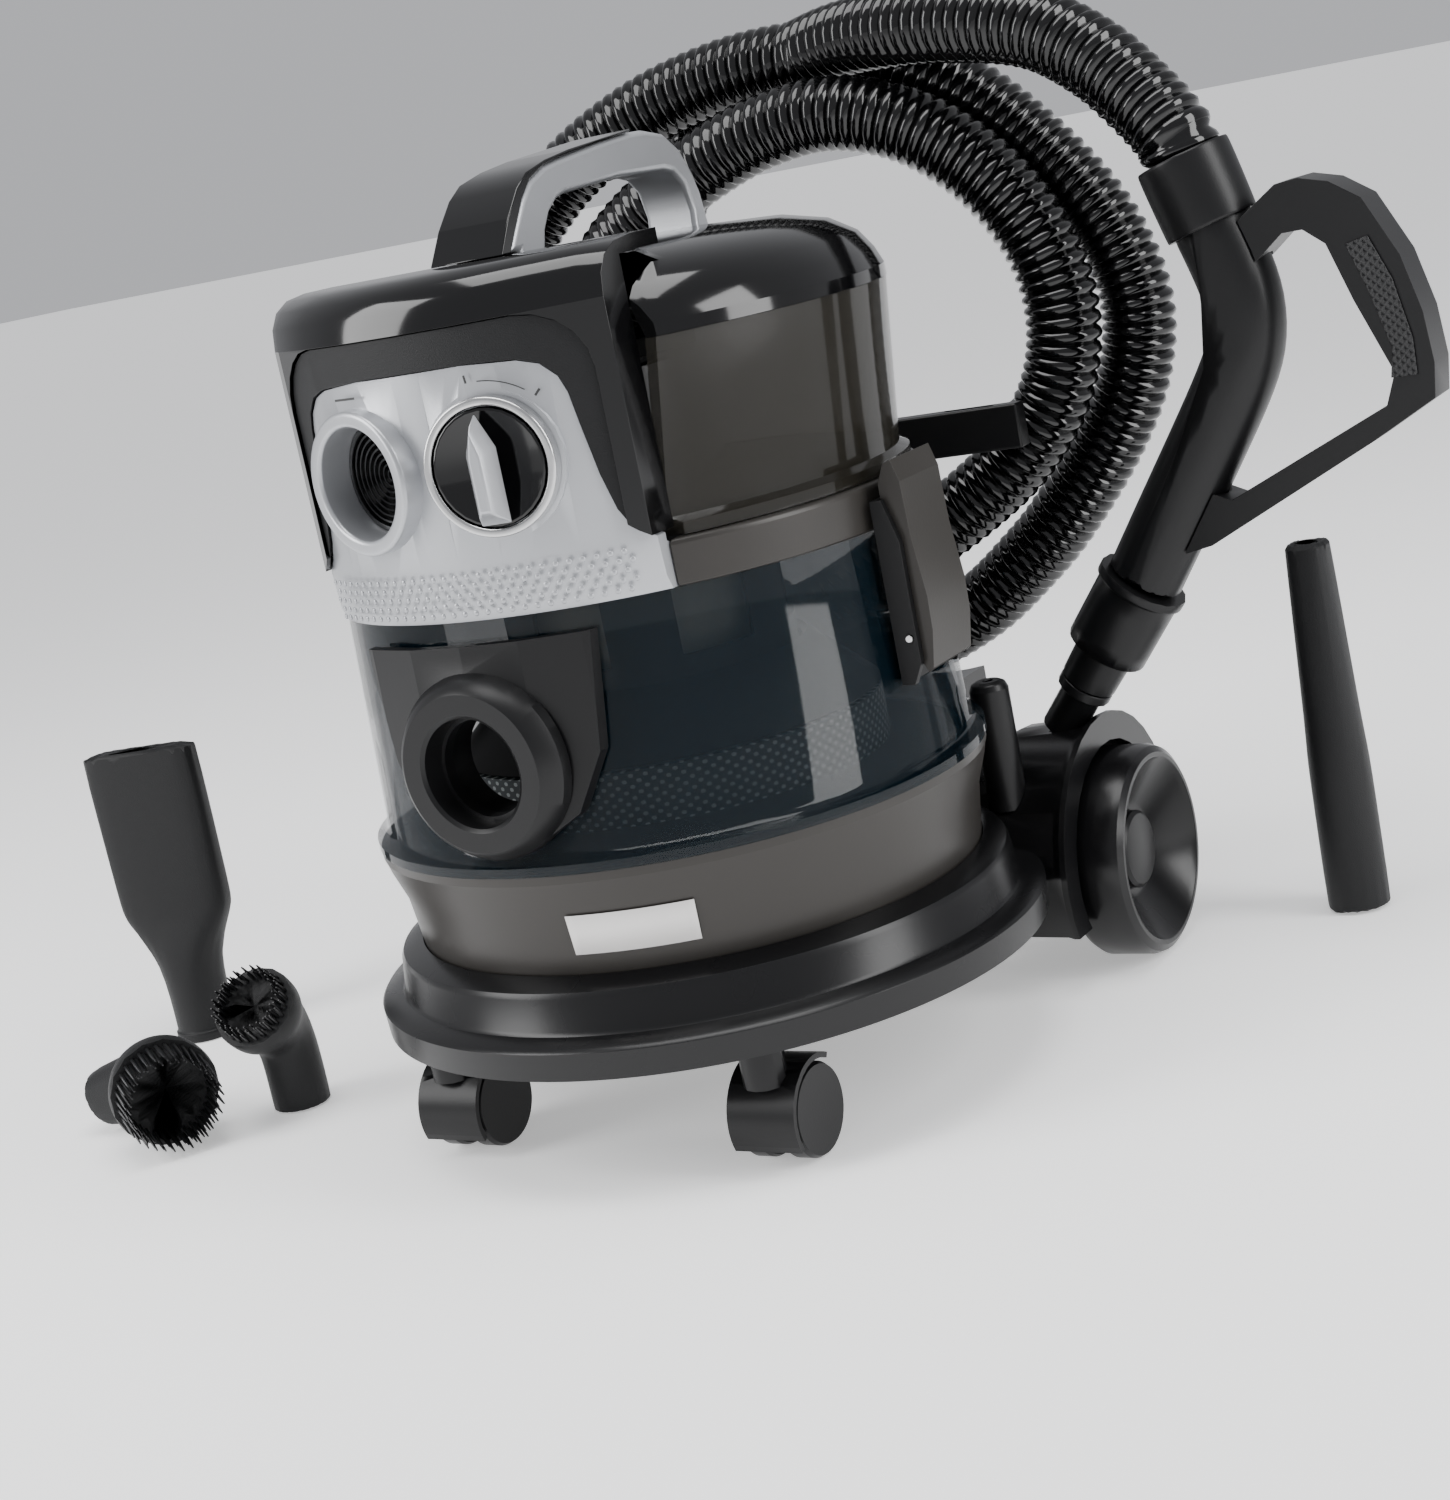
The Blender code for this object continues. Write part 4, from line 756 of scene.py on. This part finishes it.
# The outlet's stack of polished rings, sunk in its collar.
def makePort():
    radius, low, high = reachOf("blower_grille", -headLook["portTurn"])[1:]
    count = headLook["portRings"]
    step = (radius - grilleLook["margin"]) / count
    hole, deep = grilleLook["hole"], grilleLook["depth"]
    profile = [(hole, low), (hole, low + (high - low) * grilleLook["floor"])]
    for i in range(count):
        inner = grilleLook["centre"] + step * i
        crest = low + (high - low) * (deep + (1 - deep) * i / count)
        profile += [(inner + step * 0.15, crest - headLook["ringLip"]), (inner + step * 0.40, crest)]
        profile += [(inner + step * 0.75, crest)]
    profile += [(radius, high - grilleLook["centre"]), (radius, low)]
    rings = spun("portRings", profile, glossBlack(), facing(-headLook["portTurn"], portHeight))
    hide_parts("blower_grille")
    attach(rings, bodyOf["blower_grille"])


pointerLook = {
    "half": 0.0080,
    "reach": 0.0275,
    "shoulder": 0.010,  # where the point begins
    "layers": ((0.0085, 1.0), (0.0170, 0.62), (0.0205, 0.34)),  # height and narrowing
    "rounding": 0.0008,
}


# The knob's pointed grip.
def makePointer():
    half, reach, shoulder = pointerLook["half"], pointerLook["reach"], pointerLook["shoulder"]
    outline = [(-half, -reach), (half, -reach), (half, shoulder), (0.0, reach), (-half, shoulder)]
    mesh = bmesh.new()
    place = facing(headLook["portTurn"], portHeight)
    rings = []
    for height, share in pointerLook["layers"]:
        long = 0.55 + 0.45 * share
        rings.append([place @ Vector((x * share, y * long, height)) for x, y in outline])
    ringed(mesh, rings)
    pointer = addObject("pointerLook", mesh, satinSilver(), 25.0)
    rounder = pointer.modifiers.new("rounded edges", "BEVEL")
    rounder.width = pointerLook["rounding"]
    rounder.segments = 3
    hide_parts("knob_pointer")
    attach(pointer, bodyOf["knob_pointer"])


# Staggered rows of raised dots on the band.
def makeDots():
    mesh = bmesh.new()
    rows, step = dotLook["rows"], dotLook["step"]
    lowest = panelBox[0][2]
    for row in range(rows):
        height = lowest + dotLook["lowest"] + dotLook["rowGap"] * row
        out = -dotLook["lean"] * (1 - row / (rows - 1)) if row else -dotLook["sink"]
        for i in range(-dotLook["aside"], dotLook["aside"] + 1):
            turn = (i + 0.5 * (row % 2)) * step
            spot = facing(turn, height, out) @ Matrix.Diagonal((1.0, 1.0, dotLook["flatness"], 1.0))
            bmesh.ops.create_uvsphere(mesh, u_segments=10, v_segments=6, radius=dotLook["radius"], matrix=spot)
    dots = addObject("bandDots", mesh, satinSilver(), 80.0)
    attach(dots, bodyOf["control_panel"])


markLook = {"reach": 0.0415, "tick": 0.004, "line": 0.0006, "bold": 0.0012, "lift": 0.0002}


# Plain marks by the knob and the port.
def makeMarks():
    ink = moulded("printed marks", (0.03, 0.03, 0.03), 0.5, 900.0, 0.02)
    mesh = bmesh.new()

    def stroke(turn, points, width):
        line = []
        for x, z in points:
            line.append(onPanel(turn + math.degrees(x / panelReach), portHeight + z, markLook["lift"]))
        for a, b in zip(line, line[1:]):
            across = (b - a).cross(Vector((a.x, a.y, 0.0))).normalized() * width / 2
            corners = (a - across, b - across, b + across, a + across)
            mesh.faces.new([mesh.verts.new(corner) for corner in corners])

    turn = headLook["portTurn"]
    reach = markLook["reach"]
    far = reach + markLook["tick"]
    angles = [math.radians(88 - 34 * i / 8) for i in range(9)]
    stroke(turn, [(reach * math.cos(a), reach * math.sin(a)) for a in angles], markLook["line"])
    for a in (math.radians(96), math.radians(46)):
        tick = [(r * math.cos(a), r * math.sin(a)) for r in (reach, far)]
        stroke(turn, tick, markLook["bold"])
    stroke(-turn, [(-0.008, 0.0425), (0.008, 0.0425)], markLook["bold"])
    marks = addObject("panelMarks", mesh, ink)
    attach(marks, bodyOf["control_panel"])


skirtLook = {"drop": 0.030, "wall": 0.004, "gap": 0.0006}


# The spotted skirt that shows through the drum, and the filter and motor inside it.
def makeInside():
    low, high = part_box("cyclone_skirt")
    radius = high[0]
    plain = moulded("strainer", (0.030, 0.040, 0.046), 0.4)
    perforated = masked("perforated skirt", plain, (0.42, 0.46, 0.46), perforations)
    foot, top = low[2] - skirtLook["drop"], low[2] - skirtLook["gap"]
    inner = radius - skirtLook["wall"]
    profile = [(inner, foot), (radius, foot), (radius, top), (inner, top)]
    skirt = spun("strainerSkirt", profile, perforated, Matrix.Identity(4))
    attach(skirt, bodyOf["cyclone_skirt"])
    sweepRound("skirtLook", "cyclone_skirt", "Z", centre, satinBlack())
    sweepRound("cageLook", "filter_cage", "Z", centre, satinBlack(), least=0.07)
    sweepRound("paperFilter", "filter_cartridge", "Z", centre, paperWhite())
    for node in ("motor_field", "motor_rotor", "filter_bolt"):
        dressed(node + "Look", node, brightSteel())
    for node in ("fan_wheel", "filter_nut"):
        dressed(node + "Look", node, satinBlack())


# Nozzles

bristleLook = {
    "brush_short": {"tufts": 26, "facing": (0.25, -1.0, 1.0)},
    "brush_long": {"tufts": 34, "facing": (0.80, -0.60, 0.0)},
    "inset": 0.0018,
    "wander": 0.0012,
    "thickness": ((0.0, 0.0011), (0.6, 0.0010), (1.0, 0.0005)),  # radius at shares of the length
}


def makeNozzles():
    for node in ("wide_nozzle", "crevice_tool", "brush_short", "brush_long"):
        smoothCopy(node + "Look", node, texturedBlack())
    for node in ("brush_short", "brush_long"):
        makeBristles(node, bristleLook[node]["tufts"])


# Tufts of bristles that fill the ring in the brush's mouth.
def makeBristles(node, tufts):
    source = frame["nodes"][node + "_bristles"].data
    points = [vertex.co for vertex in source.vertices]
    body = frame["nodes"][node].data.vertices
    socket = sum((Vector(vertex.co) for vertex in body), Vector()) / len(body)
    middle = sum(points, Vector()) / len(points)
    out = Vector(bristleLook[node]["facing"]).normalized()
    if out.dot(middle - socket) < 0:
        out = -out
    heights = [(p - middle).dot(out) for p in points]
    low, high = min(heights), max(heights)
    radii = [((p - middle) - out * (p - middle).dot(out)).length for p in points]
    inner, outer = min(radii), max(radii)
    side = out.orthogonal().normalized()
    up = out.cross(side)
    mesh = bmesh.new()
    inset = bristleLook["inset"]
    for layer, radius in enumerate((inner + inset, (inner + outer) / 2, outer - inset)):
        for i in range(tufts):
            angle = 2 * math.pi * (i + layer / 3) / tufts
            spoke = side * math.cos(angle) + up * math.sin(angle)
            wander = bristleLook["wander"] * math.sin(7.3 * i + 2.1 * layer)
            foot = middle + out * low + spoke * radius
            tip = middle + out * (high - 0.0010 - abs(wander)) + spoke * (radius + wander * 0.5)
            rings = []
            for share, thick in bristleLook["thickness"]:
                place = foot.lerp(tip, share)
                ring = []
                for j in range(5):
                    turn = 2 * math.pi * j / 5
                    ring.append(place + side * thick * math.cos(turn) + up * thick * math.sin(turn))
                rings.append(ring)
            ringed(mesh, rings)
    black = moulded("bristle black", (0.010, 0.010, 0.011), 0.35, 900.0, 0.2)
    bristles = addObject(node + "Bristles", mesh, black)
    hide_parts(node + "_bristles")
    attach(bristles, bodyOf[node + "_bristles"])


placeCamera()
placeStage()
print("camera and stage ready")
makeHose(makeHoseEnds())
makeWand()
print("hose and wand ready")
makeTrolley()
makeDrum()
makeLabel()
print("trolley and drum ready")
makeHead()
makePort()
makePointer()
makeDots()
makeMarks()
makeInside()
print("head ready")
makeNozzles()
print("nozzles ready")
